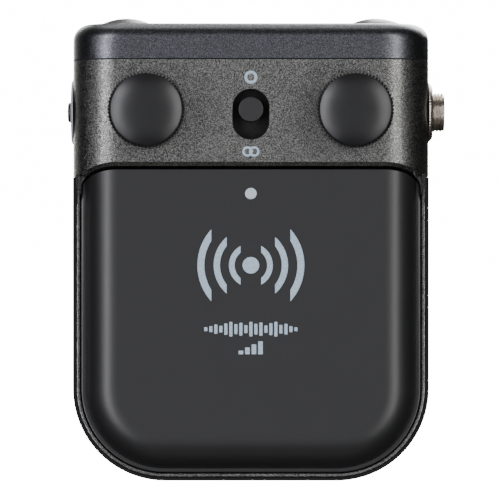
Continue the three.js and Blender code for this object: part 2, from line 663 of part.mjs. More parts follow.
/** Moulded body of the jack, bored for the plug, with two slots for its contact springs. */
function jackBody() {
  const half = JACK_BODY_SIZE / 2;
  const x1 = innerX - FIT_GAP;
  const x0 = x1 - JACK_BODY_LENGTH;
  const body = block([x0, x1], [sideAxisY - half, sideAxisY + half], [controlZ - half, controlZ + half]);
  const bore = rod("x", JACK_BORE / 2, [x0 + 1, FAR], jackAt);
  const slots = [-1, 1].map((up) => {
    const wall = controlZ + up * half;
    const deep = controlZ + up * (JACK_BORE / 2 - 0.4);
    return block([x0 + 2, x0 + 8], [sideAxisY - 0.9, sideAxisY + 0.9],
      [Math.min(wall + up, deep), Math.max(wall + up, deep)]);
  });
  return body.subtract(bore).subtract(slots[0]).subtract(slots[1]);
}

/** Bent contact spring lying in one of the jack body's slots. */
function jackSpring(up) {
  const x0 = innerX - FIT_GAP - JACK_BODY_LENGTH;
  const foot = controlZ + up * (JACK_BODY_SIZE / 2 - 0.4);
  const touch = controlZ + up * (JACK_BORE / 2 + 0.1);
  const strip = new THREE.Shape();
  strip.moveTo(x0 + 2.3, foot);
  strip.lineTo(x0 + 5.0, touch);
  strip.lineTo(x0 + 7.7, foot);
  strip.lineTo(x0 + 7.7, foot + up * 0.3);
  strip.lineTo(x0 + 5.0, touch + up * 0.3);
  strip.lineTo(x0 + 2.3, foot + up * 0.3);
  strip.closePath();
  return frontPlate(strip, [sideAxisY - 0.7, sideAxisY + 0.7]);
}

// ------------------------------------------------------------------ board and what is on it

/** Circuit board, cut round the screw posts. */
function mainBoard() {
  const depth = [boardY, boardRearY];
  let board = frontPlate(caseOutline(boardInset), depth)
    .intersect(between(boardBottomZ, boardTopZ));
  const head = sideX - WALL - BOARD_MARGIN;
  board = board.intersect(block([-head, head], [-FAR, FAR], [-FAR, FAR]));
  for (const x of [-topPost.x, topPost.x]) {
    board = board.subtract(rod("y", POST_DIAMETER / 2 + 0.3, [-FAR, FAR], { x, z: topPost.z }));
  }
  return board;
}

/** Pressed cover over the radio, open towards the board. */
function radioShield() {
  const { x, y, z } = SHIELD;
  const top = lightZ - 3;
  const front = boardY - FIT_GAP - y;
  const can = block([-x / 2, x / 2], [front, boardY - FIT_GAP], [top - z, top]);
  return can.subtract(block([-x / 2 + 0.2, x / 2 - 0.2], [front + 0.2, FAR], [top - z + 0.2, top - 0.2]));
}

/** Stamped antenna at the bottom of the board: a bar on two legs. */
function antenna() {
  const z0 = boardBottomZ + 1.5;
  const front = boardY - 2.6;
  const bar = block([-11, 11], [front, front + 0.3], [z0, z0 + 2]);
  const legs = [-11, -6].map((x) => block([x, x + 0.6], [front, boardY - FIT_GAP], [z0, z0 + 1.2]));
  return bar.add(legs[0]).add(legs[1]);
}

/** Status light behind the light pipe. */
function statusLed() {
  return block([-0.8, 0.8], [boardY - 0.6, boardY - FIT_GAP], [lightZ - 0.5, lightZ + 0.5]);
}

/** Clear pipe from the status light to the face of the cover. */
function lightPipe() {
  const at = { z: lightZ };
  const inner = coverY + COVER_WALL + FIT_GAP;
  const pipe = rod("y", LIGHT_DIAMETER / 2, [coverY - 0.02, boardY - 0.9], at);
  return pipe.add(rod("y", LIGHT_DIAMETER / 2 + 0.7, [inner, inner + 0.7], at));
}

/** Light behind one of the cap's windows. */
function windowLed(side) {
  const x = side * WINDOW_SPACING / 2;
  const top = boardTopZ - 0.1;
  return block([x - 0.8, x + 0.8], [boardRearY + FIT_GAP, boardRearY + 0.8], [top - 1.0, top]);
}

/** Window in the cap, with a flange under the cap's roof. */
function lightWindow(side) {
  const lens = planPlate(windowShape(side, 0), [CASE_HEIGHT - WALL - 1.2, CASE_HEIGHT + WINDOW_HEIGHT], 2);
  const flangeTop = CASE_HEIGHT - WALL - FIT_GAP;
  return lens.add(planPlate(windowShape(side, 0.5), [flangeTop - 0.5, flangeTop], 2));
}

/** Charging port on the back of the board, its mouth in the right wall. */
function usbPort() {
  const x1 = sideX - 0.5;
  const y0 = boardRearY + FIT_GAP;
  const z = [USB_HEIGHT - USB.z / 2, USB_HEIGHT + USB.z / 2];
  const shell = block([x1 - USB.x, x1], [y0, y0 + USB.y], z);
  const mouth = block([x1 - USB.x + 1, FAR], [y0 + 0.3, y0 + USB.y - 0.3], [z[0] + 0.3, z[1] - 0.3]);
  const tongue = block([x1 - USB.x, x1 - 1.2], [y0 + USB.y / 2 - 0.35, y0 + USB.y / 2 + 0.35],
    [z[0] + 1.2, z[1] - 1.2]);
  return shell.subtract(mouth).add(tongue);
}

/** Rechargeable pouch cell behind the board. */
function batteryCell() {
  const depth = BATTERY_THICKNESS;
  const plan = roundedRectangle(0, batteryRearY - depth / 2, 2 * batteryHalfWidth, depth, 2.2);
  return planPlate(plan, [batteryBottomZ, batteryTopZ], 3);
}

/** Foam between the cell and the rear wall. */
function batteryPad() {
  const half = batteryHalfWidth - 3;
  return block([-half, half], [batteryRearY, batteryRearY + BATTERY_PAD],
    [batteryBottomZ + 3, batteryTopZ - 3]);
}

/** Connector for the cell's leads, on the back of the board above the cell. */
function batteryConnector() {
  const z0 = batteryTopZ + 1.2;
  const shell = block([-12, -6], [boardRearY + FIT_GAP, boardRearY + 3.0], [z0, z0 + 3.4]);
  return shell.subtract(block([-11.4, -6.6], [boardRearY + 0.6, boardRearY + 2.4], [z0 - 1, z0 + 2.6]));
}

// ------------------------------------------------------------------ screws

/** Pan-head screw driven towards -Y, its head's outer face at headY, with a cross recess. */
function screw(x, z, headY, length) {
  const at = { x, z };
  const seat = headY - SCREW_HEAD_HEIGHT;
  const head = rod("y", SCREW_HEAD / 2, [seat, headY], at, SCREW_HEAD / 2 - 0.4, 20);
  const shank = rod("y", SCREW_DIAMETER / 2, [seat - length, seat + 0.1], at, SCREW_DIAMETER / 2, 20);
  const arm = [headY - 0.8, headY + 1];
  const cross = block([x - 0.95, x + 0.95], arm, [z - 0.2, z + 0.2])
    .add(block([x - 0.2, x + 0.2], arm, [z - 0.95, z + 0.95]));
  return head.add(shank).subtract(cross);
}

// ------------------------------------------------------------------ belt clip

/** Plate screwed to the rear wall, with two lugs that hold the pin. */
function clipBracket() {
  const y0 = rearY + 0.02;
  const half = CLIP_WIDTH / 2 - 0.4;
  let bracket = block([-half, half], [y0, y0 + BRACKET_THICKNESS], [bracketBottomZ, pinZ + 2.4]);
  const lug = new THREE.Shape();
  lug.moveTo(y0, pinZ - 4);
  lug.lineTo(pinY + 1.6, pinZ - 1.2);
  lug.absarc(pinY, pinZ, 1.9, -0.5, Math.PI / 2, false);
  lug.lineTo(y0, pinZ + 2.4);
  lug.closePath();
  for (const x of [-half, half - BRACKET_LUG]) {
    bracket = bracket.add(sidePlate(lug, [x, x + BRACKET_LUG], 4));
  }
  const bore = CLIP_PIN_DIAMETER / 2 + FIT_GAP;
  bracket = bracket.subtract(rod("x", bore, [-FAR, FAR], { y: pinY, z: pinZ }, bore, 24));
  for (const x of [-clipScrew.x, clipScrew.x]) {
    const at = { x, z: clipScrew.z };
    bracket = bracket.subtract(rod("y", SCREW_DIAMETER / 2 + RUN_GAP, [-FAR, FAR], at));
  }
  return bracket;
}

const clipKnuckle = { inner: 2.6, outer: CLIP_WIDTH / 2 - 0.4 - BRACKET_LUG - 0.2 };

/** The clip in side view: finger tab, knuckle, straight back and a toe that rests on the case. */
function clipSideView() {
  const y1 = clipY + CLIP_THICKNESS;
  const [top, toe] = [pinZ + CLIP_TAB, pinZ - CLIP_LENGTH];
  const toeY = rearY + 0.6;
  const side = new THREE.Shape();
  side.moveTo(clipY, top);
  side.lineTo(clipY, toe + 9);
  side.quadraticCurveTo(clipY, toe + 5.5, toeY + 1.2, toe + 4.2);
  side.quadraticCurveTo(toeY - 0.3, toe + 3.2, toeY + 0.9, toe + 2.2);
  side.quadraticCurveTo(clipY + 0.6, toe - 0.2, y1 - 0.6, toe);
  side.quadraticCurveTo(y1, toe + 2, y1, toe + 9);
  side.lineTo(y1, top - 1);
  side.quadraticCurveTo(y1, top, y1 - 1, top);
  side.closePath();
  return side;
}

/** Sprung clip with two knuckles on the pin. */
function beltClip() {
  const half = CLIP_WIDTH / 2;
  const front = new THREE.Shape();
  const [top, toe] = [pinZ + CLIP_TAB, pinZ - CLIP_LENGTH];
  front.moveTo(-half, top - 3);
  front.quadraticCurveTo(-half, top, -half + 3, top);
  front.lineTo(half - 3, top);
  front.quadraticCurveTo(half, top, half, top - 3);
  front.lineTo(half, toe + 8);
  front.quadraticCurveTo(half, toe, half - 7, toe);
  front.lineTo(-half + 7, toe);
  front.quadraticCurveTo(-half, toe, -half, toe + 8);
  front.closePath();
  let clip = sidePlate(clipSideView(), [-half, half], 4).intersect(frontPlate(front, [0, FAR], 4));
  const knuckleRadius = CLIP_PIN_DIAMETER / 2 + 1.0;
  for (const side of [-1, 1]) {
    const span = [side * clipKnuckle.inner, side * clipKnuckle.outer].sort((a, b) => a - b);
    const boss = rod("x", knuckleRadius, span, { y: pinY, z: pinZ }, knuckleRadius, 24);
    const web = block(span, [pinY, clipY + 0.5], [pinZ - knuckleRadius, pinZ + knuckleRadius]);
    clip = clip.add(boss).add(web);
  }
  const relief = 2.2;
  for (const side of [-1, 1]) {
    const span = [side * clipKnuckle.outer, side * (half + 1)].sort((a, b) => a - b);
    clip = clip.subtract(rod("x", relief, span, { y: pinY, z: pinZ }, relief, 24));
  }
  const bore = CLIP_PIN_DIAMETER / 2 + 0.05;
  clip = clip.subtract(rod("x", bore, [-FAR, FAR], { y: pinY, z: pinZ }, bore, 24));
  return clip.subtract(rod("x", 2.0, [-clipKnuckle.inner, clipKnuckle.inner], { y: pinY, z: pinZ }));
}

/** Steel pin through the lugs and the knuckles. */
function clipPin() {
  const half = CLIP_WIDTH / 2 - 0.4;
  const radius = CLIP_PIN_DIAMETER / 2;
  return rod("x", radius, [-half, half], { y: pinY, z: pinZ }, radius, 24);
}

/** A torsion spring's centreline: a few turns round the pin, with a straight leg at each end. */
class SpringPath extends THREE.Curve {
  getPoint(t) {
    const [radius, turns, width] = [1.35, 3, 3.6];
    const angle = t * turns * 2 * Math.PI;
    return new THREE.Vector3(
      -width / 2 + t * width,
      pinY - radius * Math.cos(angle),
      pinZ + radius * Math.sin(angle));
  }
}

/** Torsion spring round the middle of the pin. */
function clipSpring() {
  const wire = new THREE.Shape();
  wire.absarc(0, 0, 0.25, 0, 2 * Math.PI, false);
  return solidOf(new THREE.ExtrudeGeometry(wire, {
    steps: 40, curveSegments: 3, extrudePath: new SpringPath(),
  }));
}

// ------------------------------------------------------------------ assembly

addPart("rear_shell", rearShell(), "black");
addPart("front_housing", frontHousing(), "speckled");
addPart("front_cover", frontCover(), "satin");
addPart("top_cap", topCap(), "speckledBlue");

for (const [word, x] of [["left", -knobX], ["right", knobX]]) {
  addPart(`volume_knob_${word}`, volumeKnob(x), "rubber");
  addPart(`pot_shaft_${word}`, potShaft(x), "steel");
  addPart(`pot_body_${word}`, potBody(x), "steel");
}
addPart("mode_slider", modeSlider(), "satin");
addPart("mode_switch_can", modeSwitchCan(), "steel");

addPart("power_button_bezel", powerButtonBezel(), "steel");
addPart("power_button", powerButton(), "black");
addPart("power_switch", powerSwitch(), "black");
addPart("power_switch_plunger", powerSwitchPlunger(), "white");
for (const [word, side] of [["left", -1], ["right", 1]]) {
  addPart(`top_button_${word}`, topButton(side), "rubber");
  addPart(`top_switch_${word}`, topSwitch(side), "black");
  addPart(`top_switch_plunger_${word}`, topSwitchPlunger(side), "white");
  addPart(`light_window_${word}`, lightWindow(side), "diffuser");
  addPart(`window_led_${word}`, windowLed(side), "white");
}

addPart("jack_bushing", jackBushing(), "nickel");
addPart("jack_nut", jackNut(), "nickel");
addPart("jack_body", jackBody(), "black");
addPart("jack_tip_spring", jackSpring(1), "steel");
addPart("jack_ring_spring", jackSpring(-1), "steel");

addPart("main_board", mainBoard(), "board");
addPart("radio_shield", radioShield(), "steel");
addPart("antenna", antenna(), "steel");
addPart("status_led", statusLed(), "white");
addPart("light_pipe", lightPipe(), "diffuser");
addPart("usb_port", usbPort(), "steel");
addPart("battery_cell", batteryCell(), "foil");
addPart("battery_pad", batteryPad(), "foam");
addPart("battery_connector", batteryConnector(), "white");

screwPlaces().forEach(([x, z], index) => {
  const length = z > skirtZ ? 6.5 : rearY - SCREW_HEAD_HEIGHT - frameRearY + 2.0;
  addPart(`case_screw_${index + 1}`, screw(x, z, rearY - SEAM / 2, length), "steel");
});

addPart("clip_bracket", clipBracket(), "steel");
addPart("belt_clip", beltClip(), "black");
addPart("clip_pin", clipPin(), "steel");
addPart("clip_spring", clipSpring(), "steel");
for (const [word, x] of [["left", -clipScrew.x], ["right", clipScrew.x]]) {
  const headY = rearY + 0.02 + BRACKET_THICKNESS + SCREW_HEAD_HEIGHT + FIT_GAP;
  addPart(`clip_screw_${word}`, screw(x, clipScrew.z, headY, 4.0), "steel");
}

export default receiver;
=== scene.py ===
"""Looks of a belt-worn wireless audio receiver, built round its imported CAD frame.

Shapes are worked out in millimetres and put into the scene in metres.
X runs to the right of the front face, the front faces -Y, and Z is up.
"""

import logging
import math
from collections.abc import Callable, Sequence
from dataclasses import dataclass, field
from enum import Enum

import bmesh
import bpy
from mathutils import Matrix, Vector


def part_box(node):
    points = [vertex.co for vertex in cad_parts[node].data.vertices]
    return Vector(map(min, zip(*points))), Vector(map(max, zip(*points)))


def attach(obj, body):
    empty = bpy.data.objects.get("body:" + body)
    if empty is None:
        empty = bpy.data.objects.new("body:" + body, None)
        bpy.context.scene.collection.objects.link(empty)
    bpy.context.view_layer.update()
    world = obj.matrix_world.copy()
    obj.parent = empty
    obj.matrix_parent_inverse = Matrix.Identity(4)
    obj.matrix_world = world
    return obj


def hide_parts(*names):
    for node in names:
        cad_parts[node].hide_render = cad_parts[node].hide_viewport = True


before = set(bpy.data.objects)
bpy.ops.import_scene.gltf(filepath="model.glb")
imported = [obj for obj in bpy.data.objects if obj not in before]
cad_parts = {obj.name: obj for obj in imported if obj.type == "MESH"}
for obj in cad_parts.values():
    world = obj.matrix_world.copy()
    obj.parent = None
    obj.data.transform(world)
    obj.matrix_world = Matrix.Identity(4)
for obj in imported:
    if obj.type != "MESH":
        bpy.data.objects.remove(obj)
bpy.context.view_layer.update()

MM = 0.001
FAR = 90.0  # past every face, for cutting
NEAR_ENOUGH = 1e-3
WELD = 2e-4  # points closer than this become one after a cut
EDGE_FACETS = 3  # across every eased edge
SEAM = 0.1  # clearance between the parts of the case

Span = tuple[float, float]
Colour = tuple[float, float, float]
log = logging.getLogger("receiver")


# ---------------------------------------------------------------- shaping


class Axis(Enum):
    """Where the +Z of a shape is turned to, as degrees about an axis."""

    RIGHT = (90.0, "Y")
    LEFT = (-90.0, "Y")
    BACK = (-90.0, "X")
    FRONT = (90.0, "X")
    UP = (0.0, "X")

    @property
    def turn(self) -> Matrix:
        """The rotation itself."""
        degrees, about = self.value
        return Matrix.Rotation(math.radians(degrees), 4, about)


class Side(Enum):
    """The sides of the case, as its parts are named."""

    LEFT = "left"
    RIGHT = "right"


class Carve(Enum):
    """The ways that one solid works on another."""

    CUT = "DIFFERENCE"
    ADD = "UNION"
    KEEP = "INTERSECT"


@dataclass(frozen=True)
class Box:
    """The room that a CAD node takes, in millimetres."""

    low: Vector
    high: Vector

    @classmethod
    def of(cls, node: str) -> "Box":
        """The box of the node of that name."""
        low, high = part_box(node)
        return cls(low / MM, high / MM)

    @property
    def middle(self) -> Vector:
        """The centre of the box."""
        return (self.low + self.high) / 2

    @property
    def size(self) -> Vector:
        """The length of each side."""
        return self.high - self.low

    def span(self, axis: int) -> Span:
        """The lowest and highest value on one axis."""
        return self.low[axis], self.high[axis]


def runs_along(axis: int) -> Callable[[bmesh.types.BMEdge], bool]:
    """A test for edges parallel to an axis.

    Args:
        axis: 0, 1 or 2.

    Returns:
        The test.
    """

    def test(edge: bmesh.types.BMEdge) -> bool:
        """Whether the edge runs along that axis."""
        along = edge.verts[1].co - edge.verts[0].co
        return abs(abs(along[axis]) - along.length) < NEAR_ENOUGH

    return test


def lies_at(axis: int, value: float) -> Callable[[bmesh.types.BMEdge], bool]:
    """A test for edges that lie in a plane square to an axis.

    Args:
        axis: 0, 1 or 2.
        value: Where the plane crosses that axis.

    Returns:
        The test.
    """

    def test(edge: bmesh.types.BMEdge) -> bool:
        """Whether both ends of the edge are in that plane."""
        return all(abs(v.co[axis] - value) < NEAR_ENOUGH for v in edge.verts)

    return test


class Workpiece:
    """A closed solid being shaped, in millimetres, before it becomes a piece."""

    def __init__(self, shape: bmesh.types.BMesh) -> None:
        """Takes over a mesh.

        Args:
            shape: The mesh, in millimetres.
        """
        self.shape = shape

    # ---- ways to start

    @classmethod
    def block(cls, x: Span, y: Span, z: Span) -> "Workpiece":
        """A block between two values on each axis.

        Args:
            x: Its left and right.
            y: Its front and rear.
            z: Its bottom and top.

        Returns:
            The block.
        """
        shape = bmesh.new()
        bmesh.ops.create_cube(shape, size=1.0)
        size = [high - low for low, high in (x, y, z)]
        middle = [(low + high) / 2 for low, high in (x, y, z)]
        bmesh.ops.scale(shape, vec=size, verts=shape.verts)
        bmesh.ops.translate(shape, vec=middle, verts=shape.verts)
        return cls(shape)

    @classmethod
    def all_above(cls, z: float) -> "Workpiece":
        """A block that holds everything above a level."""
        return cls.block((-FAR, FAR), (-FAR, FAR), (z, 2 * FAR))

    @classmethod
    def bar(
        cls,
        axis: Axis,
        radius: float,
        span: Span,
        centre: Sequence[float],
        end_radius: float | None = None,
        sides: int = 64,
    ) -> "Workpiece":
        """A round bar or a cone.

        Args:
            axis: The way it points.
            radius: Its radius where it starts.
            span: Where it starts and ends along that way, from the centre.
            centre: A point on its axis.
            end_radius: Its radius where it ends, if it is a cone.
            sides: Facets round it.

        Returns:
            The bar.
        """
        shape = bmesh.new()
        bmesh.ops.create_cone(
            shape,
            cap_ends=True,
            segments=sides,
            radius1=radius,
            radius2=radius if end_radius is None else end_radius,
            depth=span[1] - span[0],
        )
        bmesh.ops.translate(shape, vec=(0, 0, sum(span) / 2), verts=shape.verts)
        return cls(shape).turned_to(axis, centre)

    @classmethod
    def lathed(
        cls,
        axis: Axis,
        profile: Sequence[tuple[float, float]],
        centre: Sequence[float],
        steps: int = 96,
        hollow: bool = False,
    ) -> "Workpiece":
        """A turned solid.

        Args:
            axis: The way that heights run.
            profile: Radius and height of each point of the section.
            centre: The point on its axis at height 0.
            steps: Facets round it.
            hollow: Whether the section closes on itself, as for a ring.

        Returns:
            The solid.
        """
        shape = bmesh.new()
        points = [shape.verts.new((r, 0.0, h)) for r, h in profile]
        pairs = list(zip(points, points[1:]))
        if hollow:
            pairs.append((points[-1], points[0]))
        edges = [shape.edges.new(pair) for pair in pairs]
        bmesh.ops.spin(
            shape,
            geom=points + edges,
            cent=(0, 0, 0),
            axis=(0, 0, 1),
            angle=2 * math.pi,
            steps=steps,
            use_merge=True,
            use_duplicate=False,
        )
        bmesh.ops.remove_doubles(shape, verts=shape.verts, dist=1e-4)
        bmesh.ops.recalc_face_normals(shape, faces=shape.faces)
        return cls(shape).turned_to(axis, centre)

    @classmethod
    def plate(
        cls, outline: Sequence[tuple[float, float]], axis: Axis, span: Span
    ) -> "Workpiece":
        """A flat outline drawn out along an axis.

        Args:
            outline: Points of the outline: Y and Z for a plate that points right,
                X and Z for one that points back.
            axis: RIGHT or BACK.
            span: Where it starts and ends along the axis.

        Returns:
            The plate.
        """
        shape = bmesh.new()
        start, end = span
        if axis is Axis.RIGHT:
            corners = [(start, a, b) for a, b in outline]
            travel = (end - start, 0, 0)
        else:
            corners = [(a, start, b) for a, b in outline]
            travel = (0, end - start, 0)
        face = shape.faces.new([shape.verts.new(c) for c in corners])
        drawn = bmesh.ops.extrude_face_region(shape, geom=[face])
        moved = [v for v in drawn["geom"] if isinstance(v, bmesh.types.BMVert)]
        bmesh.ops.translate(shape, vec=travel, verts=moved)
        bmesh.ops.recalc_face_normals(shape, faces=shape.faces)
        return cls(shape)

    # ---- ways to change

    def turned_to(self, axis: Axis, centre: Sequence[float]) -> "Workpiece":
        """Turns the shape's +Z to an axis, then moves its origin to the centre."""
        self.shape.transform(Matrix.Translation(Vector(centre)) @ axis.turn)
        return self

    def eased(
        self,
        radius: float,
        chosen: Callable[[bmesh.types.BMEdge], bool],
        segments: int = 6,
        flatness: float = 1.0,
    ) -> "Workpiece":
        """Rounds some edges, or chamfers them when there is one segment.

        Args:
            radius: Of the round.
            chosen: Says which edges are rounded.
            segments: Facets across the round.
            flatness: The round's reach along Y as a share of its radius.

        Returns:
            The same workpiece.
        """
        edges = [edge for edge in self.shape.edges if chosen(edge)]
        self.shape.transform(Matrix.Diagonal((1, 1 / flatness, 1, 1)))
        bmesh.ops.bevel(
            self.shape,
            geom=edges,
            offset=radius,
            offset_type="OFFSET",
            segments=segments,
            profile=0.5,
            affect="EDGES",
            material=-1,
            clamp_overlap=False,
        )
        self.shape.transform(Matrix.Diagonal((1, flatness, 1, 1)))
        return self

    def carved(self, how: Carve, *tools: "Workpiece") -> "Workpiece":
        """Works on the solid with others, which are used up.

        Args:
            how: Whether they are cut away, added, or all that is kept.
            tools: The other solids.

        Returns:
            The same workpiece.
        """
        blank = self._on_bench("blank")
        helpers = [tool._on_bench("tool") for tool in tools]
        for helper in helpers:
            modifier = blank.modifiers.new("carve", "BOOLEAN")
            modifier.operation = how.value
            modifier.solver = "EXACT"
            modifier.object = helper
        mesh = evaluated_mesh(blank)
        for spent in [blank, *helpers]:
            bpy.data.meshes.remove(spent.data)
        self.shape = bmesh.new()
        self.shape.from_mesh(mesh)
        bpy.data.meshes.remove(mesh)
        bmesh.ops.remove_doubles(self.shape, verts=self.shape.verts, dist=WELD)
        bmesh.ops.dissolve_degenerate(self.shape, edges=self.shape.edges, dist=WELD)
        return self

    def cut(self, *tools: "Workpiece") -> "Workpiece":
        """Cuts the tools away."""
        return self.carved(Carve.CUT, *tools)

    def add(self, *others: "Workpiece") -> "Workpiece":
        """Joins the others on."""
        return self.carved(Carve.ADD, *others)

    def keep(self, other: "Workpiece") -> "Workpiece":
        """Keeps only what is inside the other."""
        return self.carved(Carve.KEEP, other)

    def moved_each(self, change: Callable[[Vector], Vector]) -> "Workpiece":
        """Moves every point of the surface.

        Args:
            change: Gives the place that a point goes to.

        Returns:
            The same workpiece.
        """
        for vertex in self.shape.verts:
            vertex.co = change(vertex.co)
        return self

    def _on_bench(self, name: str) -> bpy.types.Object:
        """Puts the shape where modifiers can work on it, which uses it up.

        Args:
            name: Of the object.

        Returns:
            The object.
        """
        mesh = bpy.data.meshes.new(name)
        self.shape.to_mesh(mesh)
        self.shape.free()
        made = bpy.data.objects.new(name, mesh)
        bpy.context.scene.collection.objects.link(made)
        return made

    # ---- the way to end

    def piece(
        self,
        name: str,
        body: str,
        finish: "Finish",
        stands_for: Sequence[str] = (),
        edge: float = 0.0,
        edge_angle: float = 32.0,
    ) -> bpy.types.Object:
        """Makes the finished piece of the scene.

        Args:
            name: Of the piece.
            body: The CAD body that it rides on.
            finish: What it is finished in.
            stands_for: The CAD nodes that it is shown in place of.
            edge: Radius that every sharp edge is eased to, or 0.
            edge_angle: How many degrees make an edge sharp.

        Returns:
            The piece.
        """
        bench = self._on_bench(name)
        for polygon in bench.data.polygons:
            polygon.use_smooth = True
        if edge:
            bevel = bench.modifiers.new("edge", "BEVEL")
            bevel.width = edge
            bevel.segments = EDGE_FACETS
            bevel.limit_method = "ANGLE"
            bevel.angle_limit = math.radians(edge_angle)
            bevel.miter_outer = "MITER_ARC"
            bench.modifiers.new("normals", "WEIGHTED_NORMAL")
        mesh = evaluated_mesh(bench)
        mesh.name = name
        bpy.data.meshes.remove(bench.data)
        mesh.transform(Matrix.Scale(MM, 4))
        if not edge:
            mesh.set_sharp_from_angle(angle=math.radians(edge_angle))
        made = bpy.data.objects.new(name, mesh)
        bpy.context.scene.collection.objects.link(made)
        mesh.materials.clear()
        mesh.materials.append(finish.material())
        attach(made, body)
        if stands_for:
            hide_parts(*stands_for)
        log.info("%s: %d faces, rides on %s", name, len(mesh.polygons), body)
        return made


def evaluated_mesh(made: bpy.types.Object) -> bpy.types.Mesh:
    """The mesh of an object with its modifiers worked out."""
    graph = bpy.context.evaluated_depsgraph_get()
    return bpy.data.meshes.new_from_object(made.evaluated_get(graph))


def smooth_curve(
    start: tuple[float, float],
    pull: tuple[float, float],
    end: tuple[float, float],
    steps: int = 10,
) -> list[tuple[float, float]]:
    """Points on a curve that leaves the start and reaches the end heading for a pull.

    Args:
        start: Where it starts. That point is left out.
        pull: The point that both of its ends head for.
        end: Where it ends. That point is put in.
        steps: How many points.

    Returns:
        The points.
    """
    points = []
    for step in range(1, steps + 1):
        t = step / steps
        a, b, c = (1 - t) ** 2, 2 * t * (1 - t), t * t
        points.append(tuple(a * s + b * p + c * e for s, p, e in zip(start, pull, end)))
    return points


# ---------------------------------------------------------------- finishes


class Sum(Enum):
    """The steps of arithmetic that a finish may need."""

    LESS = "SUBTRACT"
    SIZE = "ABSOLUTE"
    HIGHER = "MAXIMUM"
    LOWER = "MINIMUM"


class Graph:
    """The shader nodes of one material."""

    def __init__(self, name: str) -> None:
        """Starts a material with a principled shader and object coordinates.

        Args:
            name: Of the material.
        """
        self.material = bpy.data.materials.new(name)
        self.material.use_nodes = True
        self.tree = self.material.node_tree
        self.tree.nodes.clear()
        output = self.node("ShaderNodeOutputMaterial")
        self.shader = self.node("ShaderNodeBsdfPrincipled")
        self.place = self.node("ShaderNodeTexCoord").outputs["Object"]
        self.link(self.shader.outputs["BSDF"], output.inputs["Surface"])

    def node(self, kind: str, **values: object) -> bpy.types.Node:
        """Adds a node.

        Args:
            kind: Its type.
            values: Its settings, and the values of its input sockets by their names
                with spaces for underscores.

        Returns:
            The node.
        """
        made = self.tree.nodes.new(kind)
        for key, value in values.items():
            socket = made.inputs.get(key.replace("_", " ").title())
            if socket is not None:
                socket.default_value = value
            else:
                setattr(made, key, value)
        return made

    def link(self, start: bpy.types.NodeSocket, end: bpy.types.NodeSocket) -> None:
        """Joins two sockets."""
        self.tree.links.new(start, end)

    def feed(self, name: str, value: bpy.types.NodeSocket) -> None:
        """Gives one of the shader's inputs a value that varies over the surface."""
        self.link(value, self.shader.inputs[name])

    def hold(self, name: str, value: float) -> None:
        """Gives one of the shader's inputs the same number all over."""
        self.shader.inputs[name].default_value = value

    def stretched(self, scale: Sequence[float]) -> bpy.types.NodeSocket:
        """Stretches the object coordinates.

        Args:
            scale: The factor on each axis.

        Returns:
            The stretched coordinates.
        """
        mapping = self.node("ShaderNodeMapping", scale=scale)
        self.link(self.place, mapping.inputs["Vector"])
        return mapping.outputs["Vector"]

    def noise(
        self,
        grain: float,
        detail: float = 2.0,
        place: bpy.types.NodeSocket | None = None,
    ) -> bpy.types.NodeSocket:
        """Cloudy noise.

        Args:
            grain: Size of its patches in millimetres.
            detail: How many finer layers it has.
            place: The coordinates it lies on, if not the plain ones.

        Returns:
            Its value, from 0 to 1.
        """
        made = self.node("ShaderNodeTexNoise", scale=1 / (grain * MM), detail=detail)
        self.link(place or self.place, made.inputs["Vector"])
        return made.outputs["Fac"]

    def cells(self, grain: float) -> bpy.types.Node:
        """Close-packed cells, each with its own colour.

        Args:
            grain: Their size in millimetres.

        Returns:
            The node that makes them.
        """
        made = self.node("ShaderNodeTexVoronoi", scale=1 / (grain * MM))
        self.link(self.place, made.inputs["Vector"])
        return made

    def ranged(
        self, value: bpy.types.NodeSocket, low: Span, high: Span
    ) -> bpy.types.NodeSocket:
        """Maps one range of a value onto another.

        Args:
            value: What is mapped.
            low: The value's lower end, and what it becomes.
            high: The value's upper end, and what it becomes.

        Returns:
            The mapped value, held to those ends.
        """
        made = self.node("ShaderNodeMapRange")
        for socket, number in zip(list(made.inputs)[1:5], (low[0], high[0], low[1], high[1])):
            socket.default_value = number
        self.link(value, made.inputs["Value"])
        return made.outputs["Result"]

    def mid_ranged(self, value: bpy.types.NodeSocket, ends: Span) -> bpy.types.NodeSocket:
        """Maps the middle range of a noise onto the range between two ends."""
        return self.ranged(value, (0.3, ends[0]), (0.7, ends[1]))

    def sum_of(
        self,
        operation: Sum,
        first: bpy.types.NodeSocket | float,
        second: bpy.types.NodeSocket | float = 0.0,
    ) -> bpy.types.NodeSocket:
        """One step of arithmetic.

        Args:
            operation: What is done.
            first: A socket or a number.
            second: A socket or a number.

        Returns:
            The result.
        """
        made = self.node("ShaderNodeMath", operation=operation.value)
        for socket, term in zip(made.inputs, (first, second)):
            if isinstance(term, float):
                socket.default_value = term
            else:
                self.link(term, socket)
        return made.outputs[0]

    def blended(
        self,
        share: bpy.types.NodeSocket,
        start: Colour | bpy.types.NodeSocket,
        end: Colour,
    ) -> bpy.types.NodeSocket:
        """A colour that goes from the start to the end as the share rises.

        Args:
            share: From 0 to 1.
            start: A colour, or a socket that gives one.
            end: A colour.

        Returns:
            The blend.
        """
        made = self.node("ShaderNodeMix", data_type="RGBA")
        colours = [socket for socket in made.inputs if socket.type == "RGBA"]
        if isinstance(start, bpy.types.NodeSocket):
            self.link(start, colours[0])
        else:
            colours[0].default_value = (*start, 1)
        colours[1].default_value = (*end, 1)
        self.link(share, made.inputs[0])
        return next(socket for socket in made.outputs if socket.type == "RGBA")

    def raised(self, height: bpy.types.NodeSocket, depth: float, strength: float) -> None:
        """Gives the surface a relief.

        Args:
            height: How high it stands, from 0 to 1.
            depth: How far that is, in millimetres.
            strength: How much of it shows.
        """
        bump = self.node("ShaderNodeBump", strength=strength, distance=depth * MM)
        self.link(height, bump.inputs["Height"])
        self.feed("Normal", bump.outputs["Normal"])


